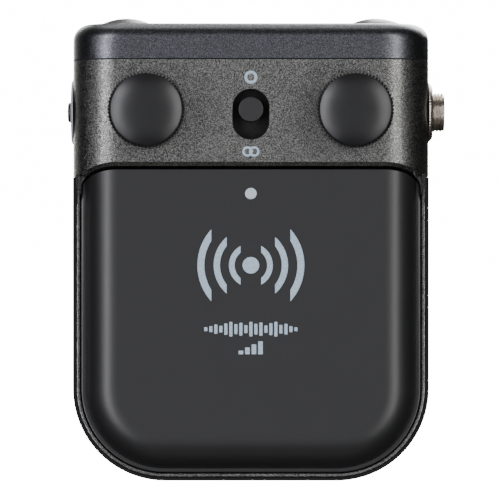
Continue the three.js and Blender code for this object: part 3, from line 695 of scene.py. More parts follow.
@dataclass(frozen=True)
class Finish:
    """A surface finish: a material, made the first time that it is asked for."""

    name: str
    slot: str

    def material(self) -> bpy.types.Material:
        """The finish as a material."""
        found = bpy.data.materials.get(self.name)
        return found if found is not None else self.mixed()

    def mixed(self) -> bpy.types.Material:
        """Makes the material."""
        raise NotImplementedError


@dataclass(frozen=True)
class SkinAndShade:
    """How far paint sprayed from outside has reached into a shell, in millimetres, and where its
    dark moulding is shown as painted shade.

    The shell's plan has straight sides at half_flat + radius and a front whose round
    edges are centred at centre_y. Under its floor it is painted through, and it is
    bare under its low level and over its high one. Inside the shell that dark is the bare
    moulding and also painted shade in the gap under the lip; at the low and high levels,
    where the shell meets the next one at the seam, it is painted shade in the seam.
    """

    half_flat: float
    centre_y: float
    radius: float
    depth: float
    floor: float
    low: float
    high: float
    fade: float = 0.02

    def bare_and_shade(self, graph: Graph) -> bpy.types.NodeSocket:
        """Where the moulding is left bare, which in the gaps and the seam is painted shade: 1
        there, 0 where it is painted.

        Args:
            graph: The material's nodes.

        Returns:
            The share.
        """
        place = graph.node("ShaderNodeSeparateXYZ")
        graph.link(graph.place, place.inputs[0])
        x, y, z = place.outputs
        sideways = graph.sum_of(Sum.LESS, graph.sum_of(Sum.SIZE, x), self.half_flat * MM)
        forwards = graph.sum_of(Sum.LESS, self.centre_y * MM, y)
        corner = graph.node("ShaderNodeCombineXYZ")
        graph.link(graph.sum_of(Sum.HIGHER, sideways, 0.0), corner.inputs[0])
        graph.link(graph.sum_of(Sum.HIGHER, forwards, 0.0), corner.inputs[1])
        reach = graph.node("ShaderNodeVectorMath", operation="LENGTH")
        graph.link(corner.outputs[0], reach.inputs[0])
        inside = graph.sum_of(
            Sum.LESS, (self.radius - self.depth) * MM, reach.outputs["Value"]
        )
        inside = graph.sum_of(Sum.LOWER, inside, graph.sum_of(Sum.LESS, z, self.floor * MM))
        above = graph.sum_of(Sum.LESS, z, self.high * MM)
        below = graph.sum_of(Sum.LESS, self.low * MM, z)
        end = graph.sum_of(Sum.HIGHER, above, below)
        deepest = graph.sum_of(Sum.HIGHER, inside, end)
        fade = self.fade * MM
        return graph.ranged(deepest, (-fade, 0.0), (fade, 1.0))


@dataclass(frozen=True)
class FleckedPaint(Finish):
    """Metallic paint whose flakes are just big enough to be seen one by one."""

    dark: Colour = (0.010, 0.010, 0.0095)
    light: Colour = (0.320, 0.320, 0.304)
    fleck: float = 0.095
    metallic: float = 0.96
    roughness: Span = (0.26, 0.38)
    relief: float = 0.6
    # Where the paint gives way to the dark colour below: bare moulding inside the shell, painted
    # shade in the gaps and the seam.
    skin_and_shade: SkinAndShade | None = None
    moulding_and_shade: Colour = (0.008, 0.008, 0.008)

    def mixed(self) -> bpy.types.Material:
        """Makes the material: flakes of uneven brightness and tilt under a haze.

        Returns:
            The material.
        """
        graph = Graph(self.name)
        cells = graph.cells(self.fleck)
        grain = graph.noise(self.fleck * 0.8, detail=3.0)
        flake = graph.node("ShaderNodeSeparateColor")
        graph.link(cells.outputs["Color"], flake.inputs["Color"])
        mixed = graph.node("ShaderNodeMath", operation="MULTIPLY_ADD")
        mixed.inputs[1].default_value = 0.7
        graph.link(graph.ranged(flake.outputs[0], (0.35, 0.0), (1.0, 1.0)), mixed.inputs[0])
        graph.link(graph.ranged(grain, (0.3, 0.0), (0.7, 0.3)), mixed.inputs[2])
        share = mixed.outputs[0]
        colour = graph.blended(share, self.dark, self.light)
        rough = graph.ranged(flake.outputs[1], (0.0, self.roughness[0]), (1.0, self.roughness[1]))
        if self.skin_and_shade is None:
            graph.feed("Base Color", colour)
            graph.feed("Roughness", rough)
            graph.hold("Metallic", self.metallic)
        else:
            # Dark moulding colour where the paint gives way: bare plastic inside, painted shade in
            # the gaps and the seam.
            bare_and_shade = self.skin_and_shade.bare_and_shade(graph)
            graph.feed("Base Color", graph.blended(bare_and_shade, colour, self.moulding_and_shade))
            graph.feed("Roughness", graph.sum_of(Sum.HIGHER, rough, bare_and_shade))
            graph.feed("Metallic", graph.ranged(bare_and_shade, (0.0, self.metallic), (1.0, 0.0)))
        graph.raised(share, 0.02, self.relief)
        return graph.material


@dataclass(frozen=True)
class MouldedPlastic(Finish):
    """Dark moulded plastic with a fine even texture and faint clouding."""

    dark: Colour = (0.0025, 0.0025, 0.003)
    light: Colour = (0.0035, 0.0035, 0.004)
    grain: float = 0.12
    roughness: Span = (0.28, 0.33)
    relief: float = 0.12
    specular: float = 0.5

    def mixed(self) -> bpy.types.Material:
        """Makes the material: clouding in its colour, spark texture in its relief.

        Returns:
            The material.
        """
        graph = Graph(self.name)
        clouds = graph.noise(6.0, detail=3.0)
        texture = graph.noise(self.grain)
        graph.feed("Base Color", graph.blended(clouds, self.dark, self.light))
        graph.feed("Roughness", graph.mid_ranged(texture, self.roughness))
        graph.hold("Specular IOR Level", self.specular)
        graph.raised(texture, 0.01, self.relief)
        return graph.material


@dataclass(frozen=True)
class SoftTouch(Finish):
    """Rubbery coating: matt, with a soft sheen towards its edges."""

    dark: Colour = (0.0050, 0.0050, 0.0055)
    light: Colour = (0.0070, 0.0070, 0.0076)
    roughness: Span = (0.31, 0.36)
    specular: float = 0.45
    sheen: float = 0.05

    def mixed(self) -> bpy.types.Material:
        """Makes the material: fine dust-like noise over a dark coat.

        Returns:
            The material.
        """
        graph = Graph(self.name)
        clouds = graph.noise(2.5, detail=4.0)
        graph.feed("Base Color", graph.blended(clouds, self.dark, self.light))
        graph.feed("Roughness", graph.mid_ranged(clouds, self.roughness))
        graph.hold("Specular IOR Level", self.specular)
        graph.hold("Sheen Weight", self.sheen)
        graph.raised(graph.noise(0.09), 0.008, 0.15)
        return graph.material


@dataclass(frozen=True)
class BareMetal(Finish):
    """Turned or drawn metal with fine tool marks and slight tarnish."""

    bright: Colour = (0.78, 0.73, 0.66)
    dull: Colour = (0.58, 0.53, 0.47)
    roughness: Span = (0.22, 0.36)
    marks: tuple[float, float, float] = (1.0, 0.12, 0.12)

    def mixed(self) -> bpy.types.Material:
        """Makes the material: tarnish in its colour, tool marks in its gloss.

        Returns:
            The material.
        """
        graph = Graph(self.name)
        tarnish = graph.noise(1.6, detail=4.0)
        lines = graph.noise(0.12, place=graph.stretched(self.marks))
        graph.feed("Base Color", graph.blended(tarnish, self.bright, self.dull))
        graph.feed("Roughness", graph.mid_ranged(lines, self.roughness))
        graph.hold("Metallic", 1.0)
        graph.raised(lines, 0.006, 0.2)
        return graph.material


@dataclass(frozen=True)
class Ink(Finish):
    """Screen-printed ink, slightly uneven in its cover."""

    thin: Colour = (0.30, 0.38, 0.46)
    full: Colour = (0.42, 0.52, 0.62)
    roughness: Span = (0.55, 0.7)
    specular: float = 0.3

    def mixed(self) -> bpy.types.Material:
        """Makes the material: the mesh's faint grain in a flat colour.

        Returns:
            The material.
        """
        graph = Graph(self.name)
        cover = graph.noise(0.25, detail=3.0)
        share = graph.ranged(cover, (0.35, 0.0), (0.65, 1.0))
        graph.feed("Base Color", graph.blended(share, self.thin, self.full))
        graph.feed("Roughness", graph.mid_ranged(cover, self.roughness))
        graph.hold("Specular IOR Level", self.specular)
        return graph.material


@dataclass(frozen=True)
class Lens(Finish):
    """Milky plastic that spreads a light behind it."""

    tint: Colour = (0.40, 0.45, 0.50)
    core: Colour = (0.52, 0.58, 0.63)
    roughness: Span = (0.28, 0.4)
    spread: float = 0.2

    def mixed(self) -> bpy.types.Material:
        """Makes the material: cloudy depth under a glossy face.

        Returns:
            The material.
        """
        graph = Graph(self.name)
        clouds = graph.noise(0.8)
        graph.feed("Base Color", graph.blended(clouds, self.tint, self.core))
        graph.feed("Roughness", graph.mid_ranged(clouds, self.roughness))
        graph.hold("Subsurface Weight", self.spread)
        graph.hold("Subsurface Scale", MM)
        return graph.material


@dataclass(frozen=True)
class CircuitBoard(Finish):
    """Solder mask over copper tracks."""

    mask: Colour = (0.006, 0.045, 0.018)
    track: Colour = (0.012, 0.085, 0.030)

    def mixed(self) -> bpy.types.Material:
        """Makes the material: blocky tracks that show through the mask.

        Returns:
            The material.
        """
        graph = Graph(self.name)
        tracks = graph.node("ShaderNodeTexVoronoi", distance="CHEBYCHEV", scale=700.0)
        graph.link(graph.stretched((1.0, 1.0, 2.2)), tracks.inputs["Vector"])
        share = graph.ranged(tracks.outputs["Distance"], (0.38, 0.0), (0.42, 1.0))
        graph.feed("Base Color", graph.blended(share, self.mask, self.track))
        graph.feed("Roughness", graph.ranged(share, (0.0, 0.28), (1.0, 0.36)))
        graph.raised(share, 0.02, 0.5)
        return graph.material


# Inside the head and on its top face at the seam the paint gives way to dark moulding: bare plastic
# inside, painted shade in the lip gap and the seam.
HEAD_PAINT = FleckedPaint(
    "head_flecked_paint", "speckled_paint",
    skin_and_shade=SkinAndShade(
        half_flat=19.2, centre_y=-2.2, radius=7.8, depth=0.3, floor=49.15, low=-1.0, high=63.66
    ),
)
# The cap's bottom face at the seam is dark moulding colour, painted shade in the seam.
CAP_PAINT = FleckedPaint(
    "cap_flecked_paint", "speckled_blue_paint", dark=(0.030, 0.031, 0.034),
    light=(0.195, 0.201, 0.221), fleck=0.085, roughness=(0.28, 0.35), relief=0.35,
    skin_and_shade=SkinAndShade(
        half_flat=0.0, centre_y=-90.0, radius=-1.0, depth=0.0, floor=90.0, low=63.84, high=90.0
    ),
)
COVER_SATIN = MouldedPlastic(
    "cover_satin", "satin_plastic", dark=(0.010, 0.010, 0.0105), light=(0.012, 0.012, 0.0125),
    grain=0.10, roughness=(0.37, 0.42), relief=0.06,
)
CASE_BLACK = MouldedPlastic(
    "case_black", "black_plastic", dark=(0.0028,) * 3, light=(0.0044, 0.0044, 0.0042),
    grain=0.22, roughness=(0.46, 0.56), relief=0.3, specular=0.22,
)
# Black of the parts inside; on the step and ledge behind the cover's gaps this dark also stands in
# as painted shade.
INNER_BLACK_AND_GAP_SHADE = MouldedPlastic(
    "inner_black_and_gap_shade", "black_plastic", dark=(0.003,) * 3, light=(0.005,) * 3, grain=0.3,
    roughness=(0.7, 0.85), specular=0.25,
)
KNOB_SOFT = SoftTouch("knob_soft_touch", "soft_knob")
SLIDER_SATIN = MouldedPlastic(
    "slider_satin", "slider_plastic", dark=(0.014,) * 3, light=(0.018,) * 3, relief=0.05,
)
BUTTON_GREY = SoftTouch(
    "button_grey", "button_plastic", dark=(0.030, 0.032, 0.028), light=(0.042, 0.044, 0.039),
)
POWER_BLACK = SoftTouch("power_black", "button_plastic")
BEZEL_PAINT = FleckedPaint("bezel_paint", "bezel_paint", dark=(0.08,) * 3, light=(0.2,) * 3)
NICKEL = BareMetal("jack_nickel", "nickel")
STEEL = BareMetal("bright_steel", "steel", bright=(0.52, 0.53, 0.54), dull=(0.40, 0.41, 0.42))
SCREW_STEEL = BareMetal(
    "screw_zinc", "screw_steel", bright=(0.20, 0.20, 0.21), dull=(0.11, 0.11, 0.12),
    roughness=(0.3, 0.42),
)
DARK_STEEL = BareMetal(
    "coated_steel", "black_steel", bright=(0.035, 0.035, 0.037), dull=(0.022, 0.022, 0.023),
    roughness=(0.38, 0.5),
)
SPRING_BRASS = BareMetal(
    "spring_brass", "spring_brass", bright=(0.62, 0.47, 0.22), dull=(0.45, 0.33, 0.15),
)
PRINT_INK = Ink("print_ink", "diffuser")
LIGHT_LENS = Lens("light_lens", "diffuser")
WHITE_MOULDED = MouldedPlastic(
    "white_moulded", "white_plastic", dark=(0.60, 0.58, 0.53), light=(0.68, 0.66, 0.62),
    roughness=(0.4, 0.5),
)
BOARD_GREEN = CircuitBoard("board_green", "circuit_board")
CELL_FOIL = BareMetal(
    "cell_foil", "battery_foil", bright=(0.62, 0.63, 0.64), dull=(0.5, 0.51, 0.52),
    roughness=(0.3, 0.5), marks=(1.0, 1.0, 1.0),
)
PAD_FOAM = MouldedPlastic(
    "pad_foam", "foam", dark=(0.018,) * 3, light=(0.03,) * 3, grain=0.4,
    roughness=(0.85, 0.95), relief=0.8,
)


# ---------------------------------------------------------------- case


@dataclass
class CaseForm:
    """The outline that all shells of the case share."""

    foot_radius: float = 14.0
    side: float = field(default_factory=lambda: Box.of("top_cap").high.x)

    def slab(
        self, inset: float, y: Span, front_round: float = 0.0, rear_round: float = 0.0
    ) -> Workpiece:
        """The outline drawn in by an inset, between two depths, and far too tall.

        Args:
            inset: How far inside the case's outline it is.
            y: Its front and rear faces.
            front_round: Radius of the edges round its front face.
            rear_round: Radius of the edges round its rear face.

        Returns:
            The slab.
        """
        x = self.side - inset
        slab = Workpiece.block((-x, x), y, (inset, FAR))
        upright = runs_along(1)
        slab.eased(
            self.foot_radius - inset,
            lambda edge: upright(edge) and edge.verts[0].co.z < 1 + inset,
            segments=24,
        )
        if front_round:
            slab.eased(front_round, lies_at(1, y[0]), segments=14)
        if rear_round:
            slab.eased(rear_round, lies_at(1, y[1]), segments=10)
        return slab


@dataclass
class CaseShells:
    """Rear shell, flecked head with its frame, smooth cover and top cap."""

    form: CaseForm = field(default_factory=CaseForm)
    wall: float = 1.6
    head_round: float = 7.8
    cover_round: float = 5.3
    rear_round: float = 4.2
    top_fillet: float = 2.5
    rim_inset: float = 0.6
    cover_inset: float = 1.35
    cover_wall: float = 1.2
    ledge_width: float = 1.3
    ledge_depth: float = 1.0
    ledge_thickness: float = 0.85
    lip_thickness: float = 1.76
    lip_chamfer: tuple[float, float] = (0.62, 0.42)  # up and back
    lip_gap: float = 0.53
    lip_rise: float = 0.24  # over the top of the CAD cover
    skirt_drop: float = 1.54  # from the lip to the foot of the head's sides
    rim_width: float = 0.55
    rim_crown: tuple[float, float] = (0.26, 0.12)  # across and down
    flange_width: float = 0.5
    flange_edge: tuple[float, float] = (0.28, 0.11)  # across and down
    rebate_depth: float = 5.2
    window_corner: tuple[float, float] = (5.6, 3.2)  # across and down
    tongue: tuple[float, float] = (3.1, 4.3)  # back from the front face, and down
    post: float = 2.1
    screw_seat: float = 1.9
    screw_sunk: float = 1.4
    screw_hole: float = 1.1
    clip_screw_hole: float = 1.03
    port_gap: float = 0.15
    port_corner: float = 1.2
    shaft_hole: float = 2.3
    slot: tuple[float, float] = (2.775, 3.83)  # half its width and half its height
    slot_depth: float = 2.2  # behind the slider's face
    socket_hole: float = 3.03
    ring_hole: float = 2.66
    dot_hole: float = 0.9
    button_hole: float = 4.1
    lens_hole: tuple[float, float] = (2.8, 1.05)  # half its length and half its width

    def __post_init__(self) -> None:
        """Reads the levels that the shells meet at from the frame."""
        self.cap = Box.of("top_cap")
        self.head = Box.of("front_housing")
        self.cover = Box.of("front_cover")
        self.rear = Box.of("rear_shell")
        self.front_y = self.head.low.y
        self.seam_z = self.cap.low.z - SEAM
        self.lip_z = self.cover.high.z + self.lip_rise
        self.skirt_z = self.lip_z - self.skirt_drop
        self.rim_y = self.rear.low.y - self.rim_inset
        self.ledge_y = self.rim_y + self.ledge_depth
        self.ledge_back = self.ledge_y + self.ledge_thickness
        self.board_y = Box.of("main_board").low.y

    def build(self) -> None:
        """Makes the four shells."""
        self.rear_case()
        self.head_housing()
        self.cover_panel()
        self.head_cap()

    # ---- rear

    def rear_case(self) -> None:
        """Black rear half: a shallow dish behind the head, a deeper tray below it."""
        rear_y = self.rear.high.y
        dish_y = self.head.high.y + SEAM
        wide = (-FAR, FAR)
        shell = self.form.slab(0, (-20, rear_y), rear_round=self.rear_round)
        shell.cut(
            Workpiece.block(wide, (-FAR, self.rear.low.y), wide),
            Workpiece.block(wide, (-FAR, dish_y), (self.skirt_z - SEAM, 2 * FAR)),
            Workpiece.all_above(self.seam_z),
            self.form.slab(
                self.wall, (-40, rear_y - self.wall), rear_round=self.rear_round - self.wall
            ),
            self.form.slab(self.rim_inset - SEAM, (-40, self.ledge_back + SEAM)),
        )
        shell.add(*[self.rear_post(box) for box in self.screw_boxes()])
        shell.cut(*[tool for box in self.screw_boxes() for tool in self.screw_room(box)])
        shell.cut(self.port_mouth(), *self.clip_screw_holes())
        shell.piece("rear_case", "case", CASE_BLACK, ["rear_shell"], edge=0.3, edge_angle=35)

    def screw_boxes(self) -> list[Box]:
        """Where the four case screws are."""
        return [Box.of(f"case_screw_{index}") for index in (1, 2, 3, 4)]

    def rear_post(self, screw: Box) -> Workpiece:
        """The post that a case screw goes through, and that its head sits on.

        Args:
            screw: The screw's box.

        Returns:
            The post.
        """
        at = (screw.middle.x, 0, screw.middle.z)
        meets = self.head.high.y if at[2] > self.skirt_z else self.ledge_back
        start = meets + SEAM
        return Workpiece.bar(Axis.BACK, self.post, (start, self.rear.high.y - 0.8), at)

    def screw_room(self, screw: Box) -> list[Workpiece]:
        """The counterbore and the hole for a case screw.

        Args:
            screw: The screw's box.

        Returns:
            Both tools.
        """
        at = (screw.middle.x, 0, screw.middle.z)
        seat = self.rear.high.y - self.screw_sunk
        return [
            Workpiece.bar(Axis.BACK, self.screw_seat, (seat, 30), at),
            Workpiece.bar(Axis.BACK, self.screw_hole, (-20, 30), at, sides=32),
        ]

    def clip_screw_holes(self) -> list[Workpiece]:
        """The two holes for the clip bracket's screws.

        Returns:
            The tools.
        """
        places = [Box.of(f"clip_screw_{side.value}").middle for side in Side]
        return [
            Workpiece.bar(Axis.BACK, self.clip_screw_hole, (5, 30), (at.x, 0, at.z), sides=32)
            for at in places
        ]

    def port_mouth(self) -> Workpiece:
        """The charging port's opening, through the right wall.

        Returns:
            The tool.
        """
        port, gap = Box.of("usb_port"), self.port_gap
        mouth = Workpiece.block(
            (self.form.side - 3, FAR),
            (port.low.y - gap, port.high.y + gap),
            (port.low.z - gap, port.high.z + gap),
        )
        return mouth.eased(self.port_corner, runs_along(0))

    # ---- head

    def head_housing(self) -> None:
        """Flecked upper block, with the thin frame that runs down round the cover."""
        side, rear_y = self.form.side, self.head.high.y
        inner_front = self.front_y + self.wall
        head = self.rounded_head(0, (self.front_y, rear_y), (self.skirt_z, self.seam_z))
        hollow = self.rounded_head(
            self.wall, (inner_front, FAR), (self.lip_z + self.lip_thickness, FAR)
        )
        behind_shelf = Workpiece.block(
            (self.wall - side, side - self.wall), (self.board_y - SEAM, FAR), (30, FAR)
        )
        head.cut(hollow, behind_shelf, self.window(0.0, 0.0, self.ledge_y))
        up, back = self.lip_chamfer
        head.eased(up, self.is_on_lip, segments=1, flatness=back / up)
        head.add(self.cover_rim())
        head.add(*[self.skirt_tongue(way) for way in (-1, 1)])
        head.cut(*self.control_holes())
        head.piece("head_housing", "case", HEAD_PAINT, ["front_housing"], edge=0.15)
        # The dark step and ledge behind the cover are its real seat and also painted shade in the
        # gaps round it.
        seat = self.gap_shade_rebate().add(self.cover_ledge())
        seat.piece("cover_seat_gap_shade", "case", INNER_BLACK_AND_GAP_SHADE, ["front_housing"], edge=0.08)

    def is_on_lip(self, edge: bmesh.types.BMEdge) -> bool:
        """Whether an edge is one of the lip's front corners.

        Args:
            edge: Of the head.

        Returns:
            True if it is.
        """
        return (
            len(edge.link_faces) == 2
            and edge.calc_face_angle() > 0.8
            and all(
                self.skirt_z + 0.05 < v.co.z < self.lip_z + 0.2 and v.co.y < self.front_y + 2.9
                for v in edge.verts
            )
        )

    def rounded_head(self, inset: float, y: Span, z: Span) -> Workpiece:
        """A block with the head's round upright front edges.

        Args:
            inset: How far inside the head's sides it is.
            y: Its front and rear.
            z: Its bottom and top.

        Returns:
            The block.
        """
        x = self.form.side - inset
        head = Workpiece.block((-x, x), y, z)
        upright = runs_along(2)
        return head.eased(
            self.head_round - inset,
            lambda edge: upright(edge) and edge.verts[0].co.y < y[0] + 1,
            segments=20,
        )

    def window(self, side_gap: float, top_gap: float, rear: float) -> Workpiece:
        """The room that the cover fills, as a tool: square below, eased above.

        Args:
            side_gap: How far inside that room its sides are.
            top_gap: How far below that room's top its own is.
            rear: How far back it reaches.

        Returns:
            The tool.
        """
        across, down = self.window_corner
        x = self.form.side - self.cover_inset + SEAM - side_gap
        top = self.lip_z - top_gap
        squash = down / across
        tool = Workpiece.block((-x, x), (-FAR, rear), (top - FAR / squash, top))
        tool.shape.transform(Matrix.Diagonal((1, 1, 1 / squash, 1)))
        along = runs_along(1)
        tool.eased(across, lambda edge: along(edge) and edge.verts[0].co.z > 0, segments=14)
        tool.shape.transform(Matrix.Diagonal((1, 1, squash, 1)))
        return tool

    def cover_rim(self) -> Workpiece:
        """The thin upright edge round the cover, crowned in front.

        Returns:
            The edge, with its upper corners filled out to the cover.
        """
        rim = self.form.slab(self.rim_inset, (self.rim_y, self.ledge_back))
        rim.cut(
            self.form.slab(self.rim_inset + self.rim_width, (-40, 40)),
            Workpiece.all_above(self.skirt_z + 1),
        )
        across, down = self.rim_crown
        rim.eased(across, lies_at(1, self.rim_y), flatness=down / across)
        corner = self.form.slab(
            self.rim_inset + 0.02, (self.rim_y + 0.05, self.ledge_back - 0.05)
        )
        corner.keep(
            Workpiece.block((-FAR, FAR), (-FAR, FAR), (self.skirt_z - 2.6, self.skirt_z + 0.9))
        )
        return rim.add(corner.cut(self.window(0.0, 0.0, 40)))

    def cover_ledge(self) -> Workpiece:
        """The ledge that the cover sits on, inside the rim, made dark so that the gap round the
        cover shows painted shade.

        Returns:
            The ledge.
        """
        ledge = self.form.slab(
            self.rim_inset + self.rim_width - 0.03, (self.ledge_y, self.ledge_back)
        )
        return ledge.cut(
            self.form.slab(self.cover_inset + self.ledge_width, (-40, 40)),
            Workpiece.all_above(self.skirt_z - SEAM),
        )

    def gap_shade_rebate(self) -> Workpiece:
        """The step under the lip that closes the gap over the cover from behind, made dark as
        painted shade in that gap.

        Returns:
            The step.
        """
        step = self.window(-0.02, -0.3, self.board_y - SEAM)
        front = self.front_y + self.rebate_depth
        return step.cut(
            Workpiece.block((-FAR, FAR), (-2 * FAR, front), (-2 * FAR, 2 * FAR)),
            Workpiece.block((-FAR, FAR), (-FAR, FAR), (-3 * FAR, self.skirt_z)),
            self.window(-0.1, self.lip_gap - 0.05, 40),
        )

    def skirt_tongue(self, way: int) -> Workpiece:
        """The taper by which the head's side runs out into the frame.

        Args:
            way: -1 for the left side, 1 for the right.

        Returns:
            The taper.
        """
        x = sorted(
            way * (self.form.side - inset)
            for inset in (self.rim_inset + 0.02, self.rim_inset + self.rim_width - 0.02)
        )
        back, drop = self.tongue
        front = self.front_y + back
        tongue = Workpiece.block(
            tuple(x), (front, self.rim_y + 0.4), (self.skirt_z - drop, self.skirt_z + 0.4)
        )
        foot = [v for v in tongue.shape.verts if v.co.z < self.skirt_z and v.co.y < front + 1]
        bmesh.ops.translate(tongue.shape, vec=(0, self.rim_y - front + 0.1, 0), verts=foot)
        return tongue

    def control_holes(self) -> list[Workpiece]:
        """Holes for the knob shafts, the mode slot, the jack and the power button.

        Returns:
            The tools.
        """
        tools = []
        for side in Side:
            at = Box.of(f"pot_shaft_{side.value}").middle
            tools.append(Workpiece.bar(Axis.BACK, self.shaft_hole, (-30, 0), (at.x, 0, at.z)))
        half_width, half_height = self.slot
        middle = Box.of("mode_switch_can").middle.z
        slot = Workpiece.block(
            (-half_width, half_width),
            (-30, Box.of("mode_slider").low.y + self.slot_depth),
            (middle - half_height, middle + half_height),
        )
        tools.append(slot.eased(half_width - 0.02, runs_along(1), segments=16))
        for node, axis, radius in (
            ("jack_bushing", Axis.RIGHT, self.socket_hole),
            ("power_button_bezel", Axis.LEFT, self.ring_hole),
        ):
            at = Box.of(node).middle
            tools.append(Workpiece.bar(axis, radius, (22, 40), (0, at.y, at.z)))
        return tools

    # ---- cover

    def cover_panel(self) -> None:
        """Smooth cover in the frame, with a hole for the status light."""
        front, rear = self.cover.span(1)
        wall = self.cover_wall
        across, down = self.flange_edge
        inset, flange_y = self.cover_inset + self.flange_width, self.rim_y - 0.1
        panel = self.form.slab(inset, (front, 10), front_round=self.cover_round)
        flange = self.form.slab(self.cover_inset, (flange_y, 9))
        flange.eased(across, lies_at(1, flange_y), segments=1, flatness=down / across)
        panel.add(flange)
        hollow = self.form.slab(
            inset + wall, (front + wall, 20), front_round=self.cover_round - wall
        )
        hollow.cut(Workpiece.all_above(self.cover.high.z - wall))
        panel.keep(self.window(0.02, self.lip_gap, 20))
        panel.cut(hollow, Workpiece.block((-FAR, FAR), (rear, FAR), (-FAR, FAR)))
        at = (0, 0, Box.of("light_pipe").middle.z)
        panel.cut(Workpiece.bar(Axis.BACK, self.dot_hole, (-30, 0), at, sides=48))
        panel.piece("cover_panel", "case", COVER_SATIN, ["front_cover"], edge=0.16)

    # ---- cap

    def head_cap(self) -> None:
        """Flecked cap over the whole depth of the case."""
        low, high = self.cap.span(2)
        cap = self.cap_blank(0, (low, high)).eased(self.top_fillet, lies_at(2, high), segments=10)
        hollow = self.cap_blank(self.wall, (low - 5, high - self.wall))
        long, wide = self.lens_hole
        holes = []
        for side in Side:
            at = Box.of(f"top_button_{side.value}").middle
            holes.append(Workpiece.bar(Axis.UP, self.button_hole, (60, 80), (at.x, at.y, 0)))
            at = Box.of(f"light_window_{side.value}").middle
            room = Workpiece.block(
                (at.x - long, at.x + long), (at.y - wide, at.y + wide), (60, 80)
            )
            holes.append(room.eased(wide - 0.05, runs_along(2), segments=8))
        cap.cut(hollow, *holes)
        cap.piece("head_cap", "case", CAP_PAINT, ["top_cap"], edge=0.17)

    def cap_blank(self, inset: float, z: Span) -> Workpiece:
        """The cap's plan, rounder in front than behind, between two heights.

        Args:
            inset: How far inside the plan it is.
            z: Its bottom and top.

        Returns:
            The block.
        """
        x = self.form.side - inset
        y = (self.cap.low.y + inset, self.cap.high.y - inset)
        blank = Workpiece.block((-x, x), y, z)
        upright = runs_along(2)
        for radius, at, steps in ((self.head_round, y[0], 20), (self.rear_round, y[1], 12)):
            blank.eased(
                radius - inset,
                lambda edge: upright(edge) and abs(edge.verts[0].co.y - at) < NEAR_ENOUGH,
                segments=steps,
            )
        return blank


# ---------------------------------------------------------------- printed marks


@dataclass
class Prints:
    """Thin ink marks: generic signs in place of words."""

    thickness: float = 0.03
    sunk: float = 0.02
    waves: tuple[tuple[float, float, float], ...] = (
        (3.3, 0.85, 1.9), (5.6, 0.95, 2.9), (8.05, 1.05, 3.7),
    )  # outer radius, width of the line, half its height
    levels: tuple[int, ...] = (
        6, 9, 14, 10, 17, 22, 15, 19, 12, 22, 16, 20, 11, 18, 22, 13, 16, 9, 6,
    )  # how tall each bar is, in tenths
    levels_width: float = 14.3
    steps_foot: float = 0.98

    def build(self) -> None:
        """Prints the marks by the slider and those on the cover."""
        head = Box.of("front_housing").low.y
        cover = Box.of("front_cover")
        slot_z = Box.of("mode_switch_can").middle.z
        self.one_ring(head, slot_z + 5.55)
        self.two_rings(head, slot_z - 5.6)
        light_z = Box.of("light_pipe").middle.z
        self.wave_sign(cover.low.y, light_z - 10.8)
        self.level_bars(cover.low.y, light_z - 20.4)
        self.stepped_bars(cover.low.y, light_z - 23.2)

    def printed(self, name: str, shapes: list[Workpiece]) -> None:
        """Makes one print of several shapes.

        Args:
            name: Of the print.
            shapes: What it is made of.
        """
        whole, *others = shapes
        if others:
            whole.add(*others)
        whole.piece(name, "case", PRINT_INK)

    def ring(self, x: float, face: float, z: float, outer: float, stroke: float) -> Workpiece:
        """A ring of ink on a face at y = face.

        Args:
            x: Its centre across.
            face: The depth of the face it is printed on.
            z: Its centre's height.
            outer: Its outer radius.
            stroke: Width of its line.

        Returns:
            The ring.
        """
        low, high = -self.sunk, self.thickness - self.sunk
        inner = outer - stroke
        section = [(inner, low), (outer, low), (outer, high), (inner, high)]
        return Workpiece.lathed(Axis.FRONT, section, (x, face, z), steps=64, hollow=True)

    def bar(self, x: Span, face: float, z: Span, corner: float = 0.1) -> Workpiece:
        """A short bar of ink with eased corners.

        Args:
            x: Its sides.
            face: The depth of the face it is printed on.
            z: Its bottom and top.
            corner: Radius of its corners.

        Returns:
            The bar.
        """
        depth = (face - self.thickness + self.sunk, face + self.sunk)
        return Workpiece.block(x, depth, z).eased(corner, runs_along(1), segments=3)

    def one_ring(self, face: float, z: float) -> None:
        """The sign for one channel: a ring."""
        self.printed("print_one_channel", [self.ring(0, face, z, 0.98, 0.42)])

    def two_rings(self, face: float, z: float) -> None:
        """The sign for two channels: two linked rings."""
        rings = [self.ring(x, face, z, 0.78, 0.32) for x in (-0.5, 0.5)]
        self.printed("print_two_channels", rings)

    def wave_sign(self, face: float, z: float) -> None:
        """A dot sending waves to both sides.

        Args:
            face: The depth of the face it is printed on.
            z: Its centre's height.
        """
        depth = (-face - self.sunk, -face + self.thickness - self.sunk)
        shapes = [Workpiece.bar(Axis.FRONT, 1.25, depth, (0, 0, z))]
        for radius, stroke, half_height in self.waves:
            gap = math.sqrt((radius - stroke) ** 2 - half_height**2)
            wave = self.ring(0, face, z, radius, stroke)
            shapes.append(wave.cut(Workpiece.block((-gap, gap), (-30, 30), (-FAR, FAR))))
        self.printed("print_waves", shapes)

    def level_bars(self, face: float, z: float) -> None:
        """A row of bars like a sound level.

        Args:
            face: The depth of the face it is printed on.
            z: Its middle's height.
        """
        count = len(self.levels)
        shapes = []
        for index, tenths in enumerate(self.levels):
            middle = (index - (count - 1) / 2) * (self.levels_width / count)
            half = tenths / 20
            shapes.append(self.bar((middle - 0.24, middle + 0.24), face, (z - half, z + half)))
        self.printed("print_level", shapes)

    def stepped_bars(self, face: float, z: float) -> None:
        """Four bars, each taller than the last, as for signal strength.

        Args:
            face: The depth of the face they are printed on.
            z: Their middle's height.
        """
        foot = z - self.steps_foot
        shapes = []
        for index in range(4):
            left = -1.85 + index * 0.98
            top = foot + 0.55 + index * 0.47
            shapes.append(self.bar((left, left + 0.7), face, (foot, top), corner=0.06))
        self.printed("print_signal", shapes)


# ---------------------------------------------------------------- controls


